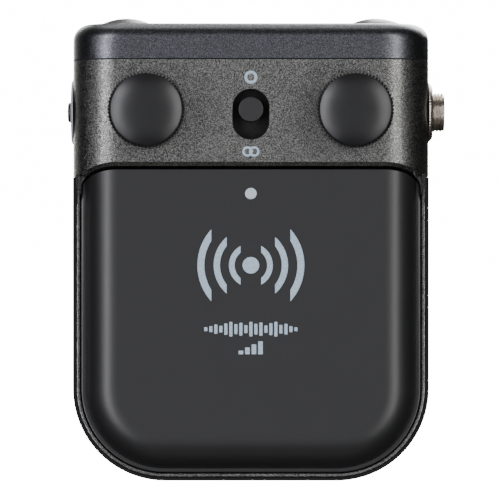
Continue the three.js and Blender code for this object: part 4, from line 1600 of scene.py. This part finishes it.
@dataclass
class VolumeKnob:
    """A soft-touch knob with a low dome and a finely ribbed side."""

    side: Side
    bore: tuple[float, float] = (2.04, 3.9)  # its radius and depth
    skirt_gap: float = 0.02
    dome_fall: float = 0.99
    dome_power: float = 2.4
    dome_rings: int = 14
    face_radius: float = 5.25
    edge_turn: float = math.radians(67)
    edge_rings: int = 8
    ribs: int = 64
    rib_depth: float = 0.16

    def build(self) -> None:
        """Makes the knob."""
        side = self.side.value
        box = Box.of(f"volume_knob_{side}")
        section = self.section(box.size.y, box.size.x / 2 - self.skirt_gap)
        knob = Workpiece.lathed(Axis.FRONT, section, (0, 0, 0), steps=self.ribs * 6)
        knob.moved_each(self.ribbed)
        knob.turned_to(Axis.UP, (box.middle.x, box.high.y, box.middle.z))
        knob.piece(
            f"knob_{side}", f"volume_{side}", KNOB_SOFT, [f"volume_knob_{side}"], edge_angle=50
        )

    def section(self, height: float, outer: float) -> list[tuple[float, float]]:
        """The knob's section: bore, base, ribbed side, eased edge and dome.

        Args:
            height: Of the knob over its base.
            outer: Radius of its skirt.

        Returns:
            Radius and height of each point.
        """
        bore, deep = self.bore
        points = [(0, deep), (bore, deep), (bore, 0), (outer - 0.25, 0)]
        edge = (outer - self.face_radius) / (1 - math.cos(self.edge_turn))
        centre = height - self.dome_drop(self.face_radius) - edge * math.sin(self.edge_turn)
        points += [(outer - 0.06, 0.2), (outer - 0.06, centre - 0.3)]
        for step in range(self.edge_rings):
            turn = step / self.edge_rings * self.edge_turn
            points.append((outer - edge * (1 - math.cos(turn)), centre + edge * math.sin(turn)))
        for step in range(self.dome_rings + 1):
            radius = self.face_radius * (1 - step / self.dome_rings)
            points.append((radius, height - self.dome_drop(radius)))
        return points

    def dome_drop(self, radius: float) -> float:
        """How far the dome has fallen at a radius."""
        return self.dome_fall * (radius / self.face_radius) ** self.dome_power

    def ribbed(self, point: Vector) -> Vector:
        """Where a point of the plain knob goes, to rib its side.

        Args:
            point: On the plain knob.

        Returns:
            The point on the ribbed knob.
        """
        radius = math.hypot(point.x, point.z)
        if radius < self.face_radius + 0.2:
            return point
        angle = math.atan2(point.z, point.x)
        share = 0.5 - 0.5 * math.cos(self.ribs * angle)
        scale = (radius - self.rib_depth * share) / radius
        return Vector((point.x * scale, point.y, point.z * scale))


@dataclass
class ModeSwitch:
    """The mode slider in its slot: a thumb piece on a flag that closes the slot."""

    crown: float = 1.88
    depth: float = 2.0
    stem: tuple[float, float] = (0.7, 0.8)  # half its width and half its height
    flag: float = 4.86  # half its height

    def build(self) -> None:
        """Makes the thumb piece and the flag."""
        box = Box.of("mode_slider")
        front, middle, depth = box.low.y, box.middle.z, self.depth
        section = [
            (0, -0.3), (self.crown, -0.3), (self.crown, depth - 0.16),
            (self.crown - 0.04, depth - 0.06), (self.crown - 0.12, depth),
            (1.3, depth - 0.03), (0.7, depth - 0.07), (0, depth - 0.08),
        ]
        thumb = Workpiece.lathed(Axis.FRONT, section, (0, front + depth, middle))
        wide, tall = self.stem
        stem = Workpiece.block(
            (-wide, wide), (front + 1.8, box.high.y), (middle - tall, middle + tall)
        )
        thumb.add(stem)
        thumb.piece(
            "mode_thumb", "mode", SLIDER_SATIN, ["mode_slider"], edge=0.06, edge_angle=50
        )
        flag = Workpiece.block(
            box.span(0), (front + 1.5, front + 2.1), (middle - self.flag, middle + self.flag)
        )
        flag.eased(0.6, runs_along(1), segments=5)
        flag.cut(Workpiece.bar(Axis.FRONT, self.crown + 0.01, (-20, 20), (0, 0, middle)))
        flag.piece("mode_flag", "mode", INNER_BLACK_AND_GAP_SHADE, ["mode_slider"], edge=0.05, edge_angle=50)


@dataclass
class SideControls:
    """Power button in its ring on the left, threaded socket and its nut on the right."""

    thread_pitch: float = 0.5
    thread_depth: float = 0.27
    thread_rings: int = 140
    thread_lead: float = 0.35
    ring_bore: float = 1.625
    button_radius: float = 1.525
    nut_bore: float = 3.05
    knurls: int = 60
    knurl_depth: float = 0.07

    def build(self) -> None:
        """Makes the four pieces."""
        self.power_ring()
        self.power_button()
        self.socket()
        self.socket_nut()

    def power_ring(self) -> None:
        """Low ring round the power button, with a neck through the wall."""
        ring, bore = Box.of("power_button_bezel"), self.ring_bore
        neck, outer = ring.size.x, ring.size.z / 2
        section = [
            (bore, 0), (2.6, 0), (2.6, neck - 0.36), (outer, neck - 0.35),
            (outer, neck - 0.22), (outer - 0.12, neck - 0.08), (outer - 0.35, neck),
            (bore + 0.5, neck), (bore + 0.1, neck - 0.14), (bore, neck - 0.4),
        ]
        at = (ring.high.x, ring.middle.y, ring.middle.z)
        made = Workpiece.lathed(Axis.LEFT, section, at, hollow=True)
        made.piece("power_ring", "case", BEZEL_PAINT, ["power_button_bezel"], edge_angle=40)

    def power_button(self) -> None:
        """Power button: a low crown outside, a collar inside that keeps it in."""
        box, r = Box.of("power_button"), self.button_radius
        tall = box.size.x
        section = [
            (0, 0), (2.2, 0), (2.2, 0.6), (r, 0.6), (r, tall - 0.28), (r - 0.05, tall - 0.14),
            (r - 0.16, tall - 0.04), (r - 0.3, tall), (0.9, tall - 0.02), (0, tall - 0.06),
        ]
        at = (box.high.x, box.middle.y, box.middle.z)
        made = Workpiece.lathed(Axis.LEFT, section, at, steps=64)
        made.piece("power_cap", "power", POWER_BLACK, ["power_button"], edge_angle=40)

    def socket(self) -> None:
        """Threaded bushing, bored for the plug."""
        box, rows = Box.of("jack_bushing"), self.thread_rings
        length, radius = box.size.x, box.size.z / 2
        section = [(0, 0)]
        section += [(radius, length * row / rows) for row in range(rows + 1)]
        section += [(0, length)]
        at = (box.low.x, box.middle.y, box.middle.z)
        bushing = Workpiece.lathed(Axis.UP, section, (0, 0, 0), steps=72)
        bushing.moved_each(lambda point: self.threaded(point, radius, length))
        bushing.turned_to(Axis.RIGHT, at)
        bore = Workpiece.lathed(
            Axis.RIGHT,
            [(0, -5), (1.8, -5), (1.8, length - 0.35), (2.15, length + 0.05), (2.15, 9), (0, 9)],
            at,
            steps=64,
        )
        bushing.cut(bore)
        bushing.piece("socket_bushing", "case", NICKEL, ["jack_bushing"], edge_angle=60)

    def threaded(self, point: Vector, radius: float, length: float) -> Vector:
        """Where a point of a plain bar goes, to cut a right-handed thread in it.

        Args:
            point: On the plain bar, which stands along +Z.
            radius: Of the bar.
            length: Of the bar.

        Returns:
            The point on the thread.
        """
        across = math.hypot(point.x, point.y)
        if across < radius - 0.5:
            return point
        turn = math.atan2(point.y, point.x) / (2 * math.pi)
        phase = (point.z / self.thread_pitch - turn) % 1.0
        ridge = abs(2 * phase - 1)
        lead = min(1.0, max(0.0, (length - point.z) / self.thread_lead))
        depth = self.thread_depth * (1 - ridge * lead)
        scale = (radius - depth) / across
        return Vector((point.x * scale, point.y * scale, point.z))

    def socket_nut(self) -> None:
        """Low conical nut with a finely knurled edge."""
        box, bore = Box.of("jack_nut"), self.nut_bore
        tall, outer = box.size.x, box.size.z / 2
        section = [
            (bore, 0), (outer - 0.1, 0), (outer, 0.08), (outer, 0.2), (outer - 0.42, tall - 0.08),
            (outer - 0.55, tall), (bore + 0.15, tall), (bore, tall - 0.12),
        ]
        nut = Workpiece.lathed(Axis.UP, section, (0, 0, 0), steps=240, hollow=True)
        nut.moved_each(lambda point: self.knurled(point, outer))
        nut.turned_to(Axis.RIGHT, (box.low.x, box.middle.y, box.middle.z))
        nut.piece("socket_nut", "case", NICKEL, ["jack_nut"], edge_angle=50)

    def knurled(self, point: Vector, outer: float) -> Vector:
        """Where a point of the plain nut goes, to knurl its edge.

        Args:
            point: On the plain nut, which stands along +Z.
            outer: Its outer radius.

        Returns:
            The point on the knurled nut.
        """
        across = math.hypot(point.x, point.y)
        if across < outer - 0.45:
            return point
        share = 0.5 - 0.5 * math.cos(self.knurls * math.atan2(point.y, point.x))
        scale = (across - self.knurl_depth * share) / across
        return Vector((point.x * scale, point.y * scale, point.z))


@dataclass
class TopControls:
    """The two domed buttons and the two light windows in the cap."""

    dome: float = 8.9
    button_radius: float = 4.0
    lens: tuple[float, float] = (2.72, 0.98)  # half its length and half its width

    def __post_init__(self) -> None:
        """Reads how high the cap is from the frame."""
        self.cap_top = Box.of("top_cap").high.z

    def build(self) -> None:
        """Makes both of each."""
        for side in Side:
            self.button(side.value)
            self.window(side.value)

    def button(self, side: str) -> None:
        """A low domed button with a collar under the cap.

        Args:
            side: The name of its side.
        """
        box, r = Box.of(f"top_button_{side}"), self.button_radius
        top = box.size.z
        rim = self.cap_top + 0.15 - box.low.z
        collar = self.cap_top - 1.7 - box.low.z
        fall = self.dome - math.sqrt(self.dome**2 - r * r)
        section = [
            (0, 0), (1.4, 0), (1.4, collar - 0.7), (4.6, collar - 0.7), (4.6, collar),
            (r, collar), (r, rim - 0.12), (r - 0.03, rim - 0.02),
        ]
        for step in range(13):
            radius = (r - 0.12) * (1 - step / 12)
            drop = self.dome - math.sqrt(self.dome**2 - radius**2)
            section.append((radius, top - drop * (top - rim) / fall))
        at = (box.middle.x, box.middle.y, box.low.z)
        made = Workpiece.lathed(Axis.UP, section, at)
        made.piece(
            f"top_dome_{side}", f"top_{side}", BUTTON_GREY, [f"top_button_{side}"], edge_angle=40
        )

    def window(self, side: str) -> None:
        """A light window: a lens with a flange under the cap.

        Args:
            side: The name of its side.
        """
        box = Box.of(f"light_window_{side}")
        at = box.middle
        long, wide = self.lens
        lens = Workpiece.block(
            (at.x - long, at.x + long), (at.y - wide, at.y + wide), box.span(2)
        )
        lens.eased(wide - 0.05, runs_along(2), segments=10)
        flange = Workpiece.block(
            box.span(0), box.span(1), (self.cap_top - 2.13, self.cap_top - 1.63)
        )
        flange.eased(1.3, runs_along(2), segments=10)
        lens.add(flange)
        lens.piece(
            f"cap_lens_{side}", "case", LIGHT_LENS, [f"light_window_{side}"],
            edge=0.12, edge_angle=50,
        )


@dataclass
class StatusLight:
    """The clear pipe that brings the status light to the face of the cover."""

    radius: float = 0.875
    collar: float = 0.68
    collar_back: float = 1.23  # behind the cover's face
    collar_depth: float = 0.7

    def build(self) -> None:
        """Makes the pipe: a slightly domed tip and a collar behind the cover."""
        box, r = Box.of("light_pipe"), self.radius
        tall, wide = box.size.y, r + self.collar
        end = box.high.y - Box.of("front_cover").low.y - self.collar_back
        start = end - self.collar_depth
        section = [
            (0, 0), (r, 0), (r, start), (wide, start), (wide, end), (r, end),
            (r, tall - 0.1), (r - 0.06, tall - 0.05), (0.45, tall - 0.01), (0, tall),
        ]
        at = (0, box.high.y, box.middle.z)
        made = Workpiece.lathed(Axis.FRONT, section, at, steps=48)
        made.piece("status_dot", "case", LIGHT_LENS, ["light_pipe"], edge_angle=40)


# ---------------------------------------------------------------- screws


@dataclass
class Screw:
    """A pan-head screw with a cross recess, driven in from behind."""

    name: str
    node: str
    head: float = 1.8
    head_height: float = 1.3
    shank: float = 1.0
    recess: tuple[float, float, float] = (1.0, 0.85, 0.19)  # half its length, depth, half its width

    def build(self) -> None:
        """Makes the screw."""
        box, shank = Box.of(self.node), self.shank
        tall = box.size.y
        seat = tall - self.head_height
        section = [(0, 0), (0.55, 0), (shank, 0.7), (shank, seat), (self.head, seat)]
        section += [(self.head, seat + 0.35)]
        for step in range(1, 9):
            turn = math.radians(step / 8 * 90)
            rise = (self.head_height - 0.42) * math.sin(turn)
            section.append((self.head - 0.75 * (1 - math.cos(turn)), seat + 0.35 + rise))
        section += [(0.5, tall - 0.02), (0, tall)]
        at = (box.middle.x, box.low.y, box.middle.z)
        screw = Workpiece.lathed(Axis.BACK, section, at, steps=48)
        long, deep, wide = self.recess
        crosses = []
        for turn in (45, 135):
            arm = Workpiece.block((-long, long), (tall - deep, tall + 1), (-wide, wide))
            feet = [v for v in arm.shape.verts if v.co.y < tall]
            bmesh.ops.scale(arm.shape, vec=(0.45, 1, 0.8), verts=feet)
            arm.shape.transform(
                Matrix.Translation(Vector(at)) @ Matrix.Rotation(math.radians(turn), 4, "Y")
            )
            crosses.append(arm)
        screw.cut(*crosses)
        screw.piece(self.name, "case", SCREW_STEEL, [self.node], edge_angle=35)


# ---------------------------------------------------------------- belt clip


@dataclass
class BeltClip:
    """Sprung belt clip: bracket, moulded clip, pin and torsion spring."""

    thickness: float = 1.8
    lug: float = 1.8
    lug_round: float = 1.9
    lug_room: float = 2.2
    pin_hole: float = 0.83
    pin_bore: float = 0.85
    screw_hole: float = 1.1
    knuckle: float = 1.8
    knuckle_gap: float = 0.2
    top_round: float = 3.0
    toe_round: float = 7.0
    grooves: tuple[float, ...] = (2.6, 4.2, 5.8)  # down from the clip's top
    groove: tuple[float, float] = (0.3, 0.35)  # its depth and half its width
    spring_room: Span = (2.6, 2.0)  # half its length, and its radius
    spring_radius: float = 1.35
    spring_turns: int = 3
    wire: float = 0.25

    def __post_init__(self) -> None:
        """Reads where the clip's parts are from the frame."""
        self.clip = Box.of("belt_clip")
        self.bracket = Box.of("clip_bracket")
        self.pin = Box.of("clip_pin")
        self.inner_y = self.clip.high.y - self.thickness
        self.case_y = Box.of("rear_shell").high.y

    def build(self) -> None:
        """Makes the four parts."""
        self.mount_plate()
        self.clip_lever()
        self.hinge_pin()
        self.torsion_spring()

    def hinge(self, radius: float, x: Span, sides: int = 64) -> Workpiece:
        """A round bar on the pin's axis.

        Args:
            radius: Of the bar.
            x: Where it starts and ends.
            sides: Facets round it.

        Returns:
            The bar.
        """
        at = (0, self.pin.middle.y, self.pin.middle.z)
        return Workpiece.bar(Axis.RIGHT, radius, x, at, sides=sides)

    def mount_plate(self) -> None:
        """Plate screwed to the rear wall, with two lugs that hold the pin."""
        box = self.bracket
        y0, pin_y, pin_z = box.low.y, self.pin.middle.y, self.pin.middle.z
        plate = Workpiece.block(box.span(0), (y0, y0 + 1.4), box.span(2))
        plate.eased(1.2, runs_along(1), segments=6)
        outline = [(y0, pin_z - 4), (pin_y + 1.6, pin_z - 1.2)]
        for step in range(13):
            turn = -0.5 + step / 12 * (math.pi / 2 + 0.5)
            away = self.lug_round * math.cos(turn), self.lug_round * math.sin(turn)
            outline.append((pin_y + away[0], pin_z + away[1]))
        outline.append((y0, pin_z + 2.4))
        half = box.high.x
        lugs = [
            Workpiece.plate(outline, Axis.RIGHT, span)
            for span in ((-half, -half + self.lug), (half - self.lug, half))
        ]
        plate.add(*lugs)
        places = [Box.of(f"clip_screw_{side.value}").middle for side in Side]
        holes = [
            Workpiece.bar(Axis.BACK, self.screw_hole, (0, 30), (at.x, 0, at.z), sides=32)
            for at in places
        ]
        plate.cut(self.hinge(self.pin_hole, (-20, 20)), *holes)
        plate.piece("clip_mount", "case", DARK_STEEL, ["clip_bracket"], edge=0.18)

    def side_view(self) -> list[tuple[float, float]]:
        """The clip in side view: finger tab, straight back, and a toe towards the case.

        Returns:
            Depth and height of each point.
        """
        y0, y1 = self.inner_y, self.clip.high.y
        toe, top = self.clip.span(2)
        toe_y = self.case_y + 0.6
        points = [(y0, top), (y0, toe + 9)]
        for pull, end in (
            ((y0, toe + 5.5), (toe_y + 1.2, toe + 4.2)),
            ((toe_y - 0.3, toe + 3.2), (toe_y + 0.9, toe + 2.2)),
            ((y0 + 0.6, toe - 0.2), (y1 - 0.6, toe)),
            ((y1, toe + 2), (y1, toe + 9)),
        ):
            points += smooth_curve(points[-1], pull, end)
        points += [(y1, top - 1)]
        points += smooth_curve((y1, top - 1), (y1, top), (y1 - 1, top), steps=6)
        return points

    def clip_lever(self) -> None:
        """The clip itself, with two knuckles on the pin."""
        x0, x1 = self.clip.span(0)
        low, high = self.clip.span(2)
        lever = Workpiece.plate(self.side_view(), Axis.RIGHT, (x0, x1))
        face = Workpiece.block((x0, x1), (0, 40), (low, high))
        upright = runs_along(1)
        for radius, end, steps in ((self.top_round, high, 12), (self.toe_round, low, 20)):
            face.eased(
                radius,
                lambda edge: upright(edge) and abs(edge.verts[0].co.z - end) < 1,
                segments=steps,
            )
        lever.keep(face)
        pin_y, pin_z = self.pin.middle.y, self.pin.middle.z
        inner, room = self.spring_room
        outer = self.bracket.high.x - self.lug - self.knuckle_gap
        web_y, web_z = (pin_y, self.inner_y + 0.5), (pin_z - self.knuckle, pin_z + self.knuckle)
        joined, relief = [], []
        for way in (-1, 1):
            span = tuple(sorted((way * inner, way * outer)))
            joined += [self.hinge(self.knuckle, span), Workpiece.block(span, web_y, web_z)]
            relief.append(self.hinge(self.lug_room, tuple(sorted((way * outer, way * 12)))))
        lever.add(*joined)
        deep, wide = self.groove
        ribs = [
            Workpiece.block((x0 + 3, x1 - 3), (self.clip.high.y - deep, 40), (z - wide, z + wide))
            for z in (high - down for down in self.grooves)
        ]
        bore, spring = self.hinge(self.pin_bore, (-20, 20)), self.hinge(room, (-inner, inner))
        lever.cut(*relief, bore, spring, *ribs)
        lever.piece("clip_lever", "clip", CASE_BLACK, ["belt_clip"], edge=0.28, edge_angle=38)

    def hinge_pin(self) -> None:
        """Steel pin with eased ends."""
        half = self.pin.high.x
        pin = self.hinge(self.pin.size.y / 2, (-half, half))
        pin.piece("hinge_pin", "case", STEEL, ["clip_pin"], edge=0.15, edge_angle=60)

    def torsion_spring(self) -> None:
        """A few turns of wire round the middle of the pin."""
        half = Box.of("clip_spring").size.x / 2 - self.wire
        steps = 40 * self.spring_turns
        shape = bmesh.new()
        bmesh.ops.create_circle(shape, cap_ends=True, segments=16, radius=self.wire)
        shape.transform(
            Matrix.Translation(Vector((self.spring_radius, 0, -half)))
            @ Matrix.Rotation(math.radians(90), 4, "X")
        )
        bmesh.ops.spin(
            shape,
            geom=shape.verts[:] + shape.edges[:] + shape.faces[:],
            cent=(0, 0, 0),
            dvec=(0, 0, 2 * half / steps),
            axis=(0, 0, 1),
            angle=self.spring_turns * 2 * math.pi,
            steps=steps,
            use_merge=False,
            use_duplicate=False,
        )
        bmesh.ops.recalc_face_normals(shape, faces=shape.faces)
        at = (0, self.pin.middle.y, self.pin.middle.z)
        spring = Workpiece(shape).turned_to(Axis.RIGHT, at)
        spring.piece("torsion_spring", "case", STEEL, ["clip_spring"], edge_angle=50)


# ---------------------------------------------------------------- inside


@dataclass
class Insides:
    """Finishes for the CAD nodes that stay as they are."""

    finishes: tuple[tuple[Finish, tuple[str, ...]], ...] = (
        (STEEL, ("pot_shaft_left", "pot_shaft_right", "pot_body_left", "pot_body_right")),
        (STEEL, ("mode_switch_can", "radio_shield", "antenna", "usb_port")),
        (INNER_BLACK_AND_GAP_SHADE, ("power_switch", "top_switch_left", "top_switch_right", "jack_body")),
        (WHITE_MOULDED, ("power_switch_plunger", "battery_connector", "status_led")),
        (WHITE_MOULDED, ("top_switch_plunger_left", "top_switch_plunger_right")),
        (WHITE_MOULDED, ("window_led_left", "window_led_right")),
        (SPRING_BRASS, ("jack_tip_spring", "jack_ring_spring")),
        (BOARD_GREEN, ("main_board",)),
        (CELL_FOIL, ("battery_cell",)),
        (PAD_FOAM, ("battery_pad",)),
    )

    def build(self) -> None:
        """Gives each of those nodes its finish."""
        for finish, names in self.finishes:
            for name in names:
                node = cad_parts[name]
                node.data.materials.clear()
                node.data.materials.append(finish.material())
                log.info("%s: finished as %s", name, finish.name)


# ---------------------------------------------------------------- studio


@dataclass(frozen=True)
class SoftLight:
    """A rectangular soft light that the camera doesn't see."""

    name: str
    azimuth: float  # degrees round from the front, to the right
    height: float  # degrees above the horizon
    distance: float
    size: Span
    power: float
    colour: Colour = (1.0, 1.0, 1.0)

    def build(self, target: Vector) -> None:
        """Puts the light up, facing a target.

        Args:
            target: What it lights.
        """
        lamp = bpy.data.lights.new(self.name, "AREA")
        lamp.shape = "RECTANGLE"
        lamp.size, lamp.size_y = self.size
        lamp.energy = self.power
        lamp.color = self.colour
        made = bpy.data.objects.new(self.name, lamp)
        a, e = math.radians(self.azimuth), math.radians(self.height)
        away = Vector((math.sin(a) * math.cos(e), -math.cos(a) * math.cos(e), math.sin(e)))
        made.location = target + away * self.distance
        made.rotation_euler = (-away).to_track_quat("-Z", "Y").to_euler()
        made.visible_camera = False
        bpy.context.scene.collection.objects.link(made)


@dataclass
class Studio:
    """Camera, soft lights, plain pale floor and background."""

    camera_place: tuple[float, float, float] = (-0.00013, -0.600, 0.0350)
    lens: float = 282.9
    white: float = 20.0
    bounce: float = 0.02
    lights: tuple[SoftLight, ...] = (
        SoftLight("front_light", 0, 2, 1.3, (1.1, 1.9), 4.6, (1.0, 1.0, 1.07)),
        SoftLight("left_strip", -43, 4, 1.0, (0.25, 1.0), 8.6, (1.0, 1.0, 1.05)),
        SoftLight("right_strip", 43, 4, 1.0, (0.28, 1.0), 6.8),
        SoftLight("left_high", -33, 27, 1.0, (0.2, 0.35), 1.0, (1.0, 1.0, 1.05)),
        SoftLight("left_low", -33, -27, 1.0, (0.2, 0.35), 0.9, (1.0, 1.0, 1.05)),
        SoftLight("right_high", 33, 27, 1.0, (0.2, 0.35), 0.75),
        SoftLight("right_low", 33, -27, 1.0, (0.2, 0.35), 0.65),
        SoftLight("top_light", 180, 74, 0.9, (0.8, 0.72), 4.3, (1.0, 0.97, 0.93)),
        SoftLight("rear_light", -140, 15, 1.2, (0.6, 0.9), 1.0, (1.0, 0.96, 0.92)),
        SoftLight("far_light", 160, 30, 1.2, (0.7, 0.7), 16.0),
        SoftLight("back_strip", -160, 8, 1.1, (0.25, 1.0), 3.5),
        SoftLight("low_light", 0, -66, 1.0, (0.9, 0.3), 0.25, (1.0, 0.96, 0.90)),
    )

    def build(self) -> None:
        """Sets everything up."""
        self.camera()
        self.floor()
        self.background()
        target = Vector((0, 0, self.camera_place[2]))
        for light in self.lights:
            light.build(target)

    def camera(self) -> None:
        """The camera, level and square to the front face."""
        data = bpy.data.cameras.new("camera")
        data.sensor_width = 36.0
        data.lens = self.lens
        data.clip_start, data.clip_end = 0.01, 50.0
        made = bpy.data.objects.new("camera", data)
        made.location = self.camera_place
        made.rotation_euler = (math.radians(90), 0, 0)
        bpy.context.scene.collection.objects.link(made)
        bpy.context.scene.camera = made

    def floor(self) -> None:
        """A wide pale floor under the object."""
        shape = bmesh.new()
        bmesh.ops.create_grid(shape, x_segments=2, y_segments=2, size=6.0)
        mesh = bpy.data.meshes.new("floor")
        shape.to_mesh(mesh)
        shape.free()
        made = bpy.data.objects.new("floor", mesh)
        made.location.z = -0.0002
        made.visible_diffuse = made.visible_glossy = made.visible_shadow = False
        mesh.materials.append(self.seen_white("floor_pale"))
        bpy.context.scene.collection.objects.link(made)

    def seen_white(self, name: str) -> bpy.types.Material:
        """A surface that looks white and gives back little light.

        Args:
            name: Of the material.

        Returns:
            The material.
        """
        material = bpy.data.materials.new(name)
        material.use_nodes = True
        matt = ("ShaderNodeBsdfDiffuse", "Color", (0.3, 0.3, 0.3, 1))
        glow = ("ShaderNodeEmission", "Strength", self.white)
        self.shaded(material.node_tree, "ShaderNodeOutputMaterial", matt, glow)
        return material

    def background(self) -> None:
        """White to look at, nearly dark as a light."""
        world = bpy.data.worlds.new("studio")
        world.use_nodes = True
        dim, bright = (
            ("ShaderNodeBackground", "Strength", strength)
            for strength in (self.bounce, self.white)
        )
        self.shaded(world.node_tree, "ShaderNodeOutputWorld", dim, bright)
        bpy.context.scene.world = world

    def shaded(
        self,
        tree: bpy.types.NodeTree,
        ends_in: str,
        lit: tuple[str, str, object],
        seen: tuple[str, str, object],
    ) -> None:
        """Fills a node tree with two shaders, one for light and one for the camera's view.

        Args:
            tree: The tree.
            ends_in: The type of its output node.
            lit: Type of the shader for light, its input, and the input's value.
            seen: The same for what is looked at.
        """
        tree.nodes.clear()
        output = tree.nodes.new(ends_in)
        mix = tree.nodes.new("ShaderNodeMixShader")
        path = tree.nodes.new("ShaderNodeLightPath")
        tree.links.new(path.outputs["Is Camera Ray"], mix.inputs[0])
        for place, (kind, socket, value) in ((1, lit), (2, seen)):
            shade = tree.nodes.new(kind)
            shade.inputs[socket].default_value = value
            tree.links.new(shade.outputs[0], mix.inputs[place])
        tree.links.new(mix.outputs[0], output.inputs["Surface"])


# ---------------------------------------------------------------- everything


def main() -> None:
    """Builds the studio and every part of the receiver."""
    logging.basicConfig(level=logging.INFO, format="%(name)s: %(message)s")
    screws = [Screw(f"rear_screw_{n}", f"case_screw_{n}") for n in (1, 2, 3, 4)]
    screws += [Screw(f"mount_screw_{s.value}", f"clip_screw_{s.value}") for s in Side]
    for assembly in (
        Studio(),
        CaseShells(),
        Prints(),
        VolumeKnob(Side.LEFT),
        VolumeKnob(Side.RIGHT),
        ModeSwitch(),
        SideControls(),
        TopControls(),
        StatusLight(),
        *screws,
        BeltClip(),
        Insides(),
    ):
        assembly.build()
        log.info("%s is built", type(assembly).__name__)


if __name__ == "__main__":
    main()
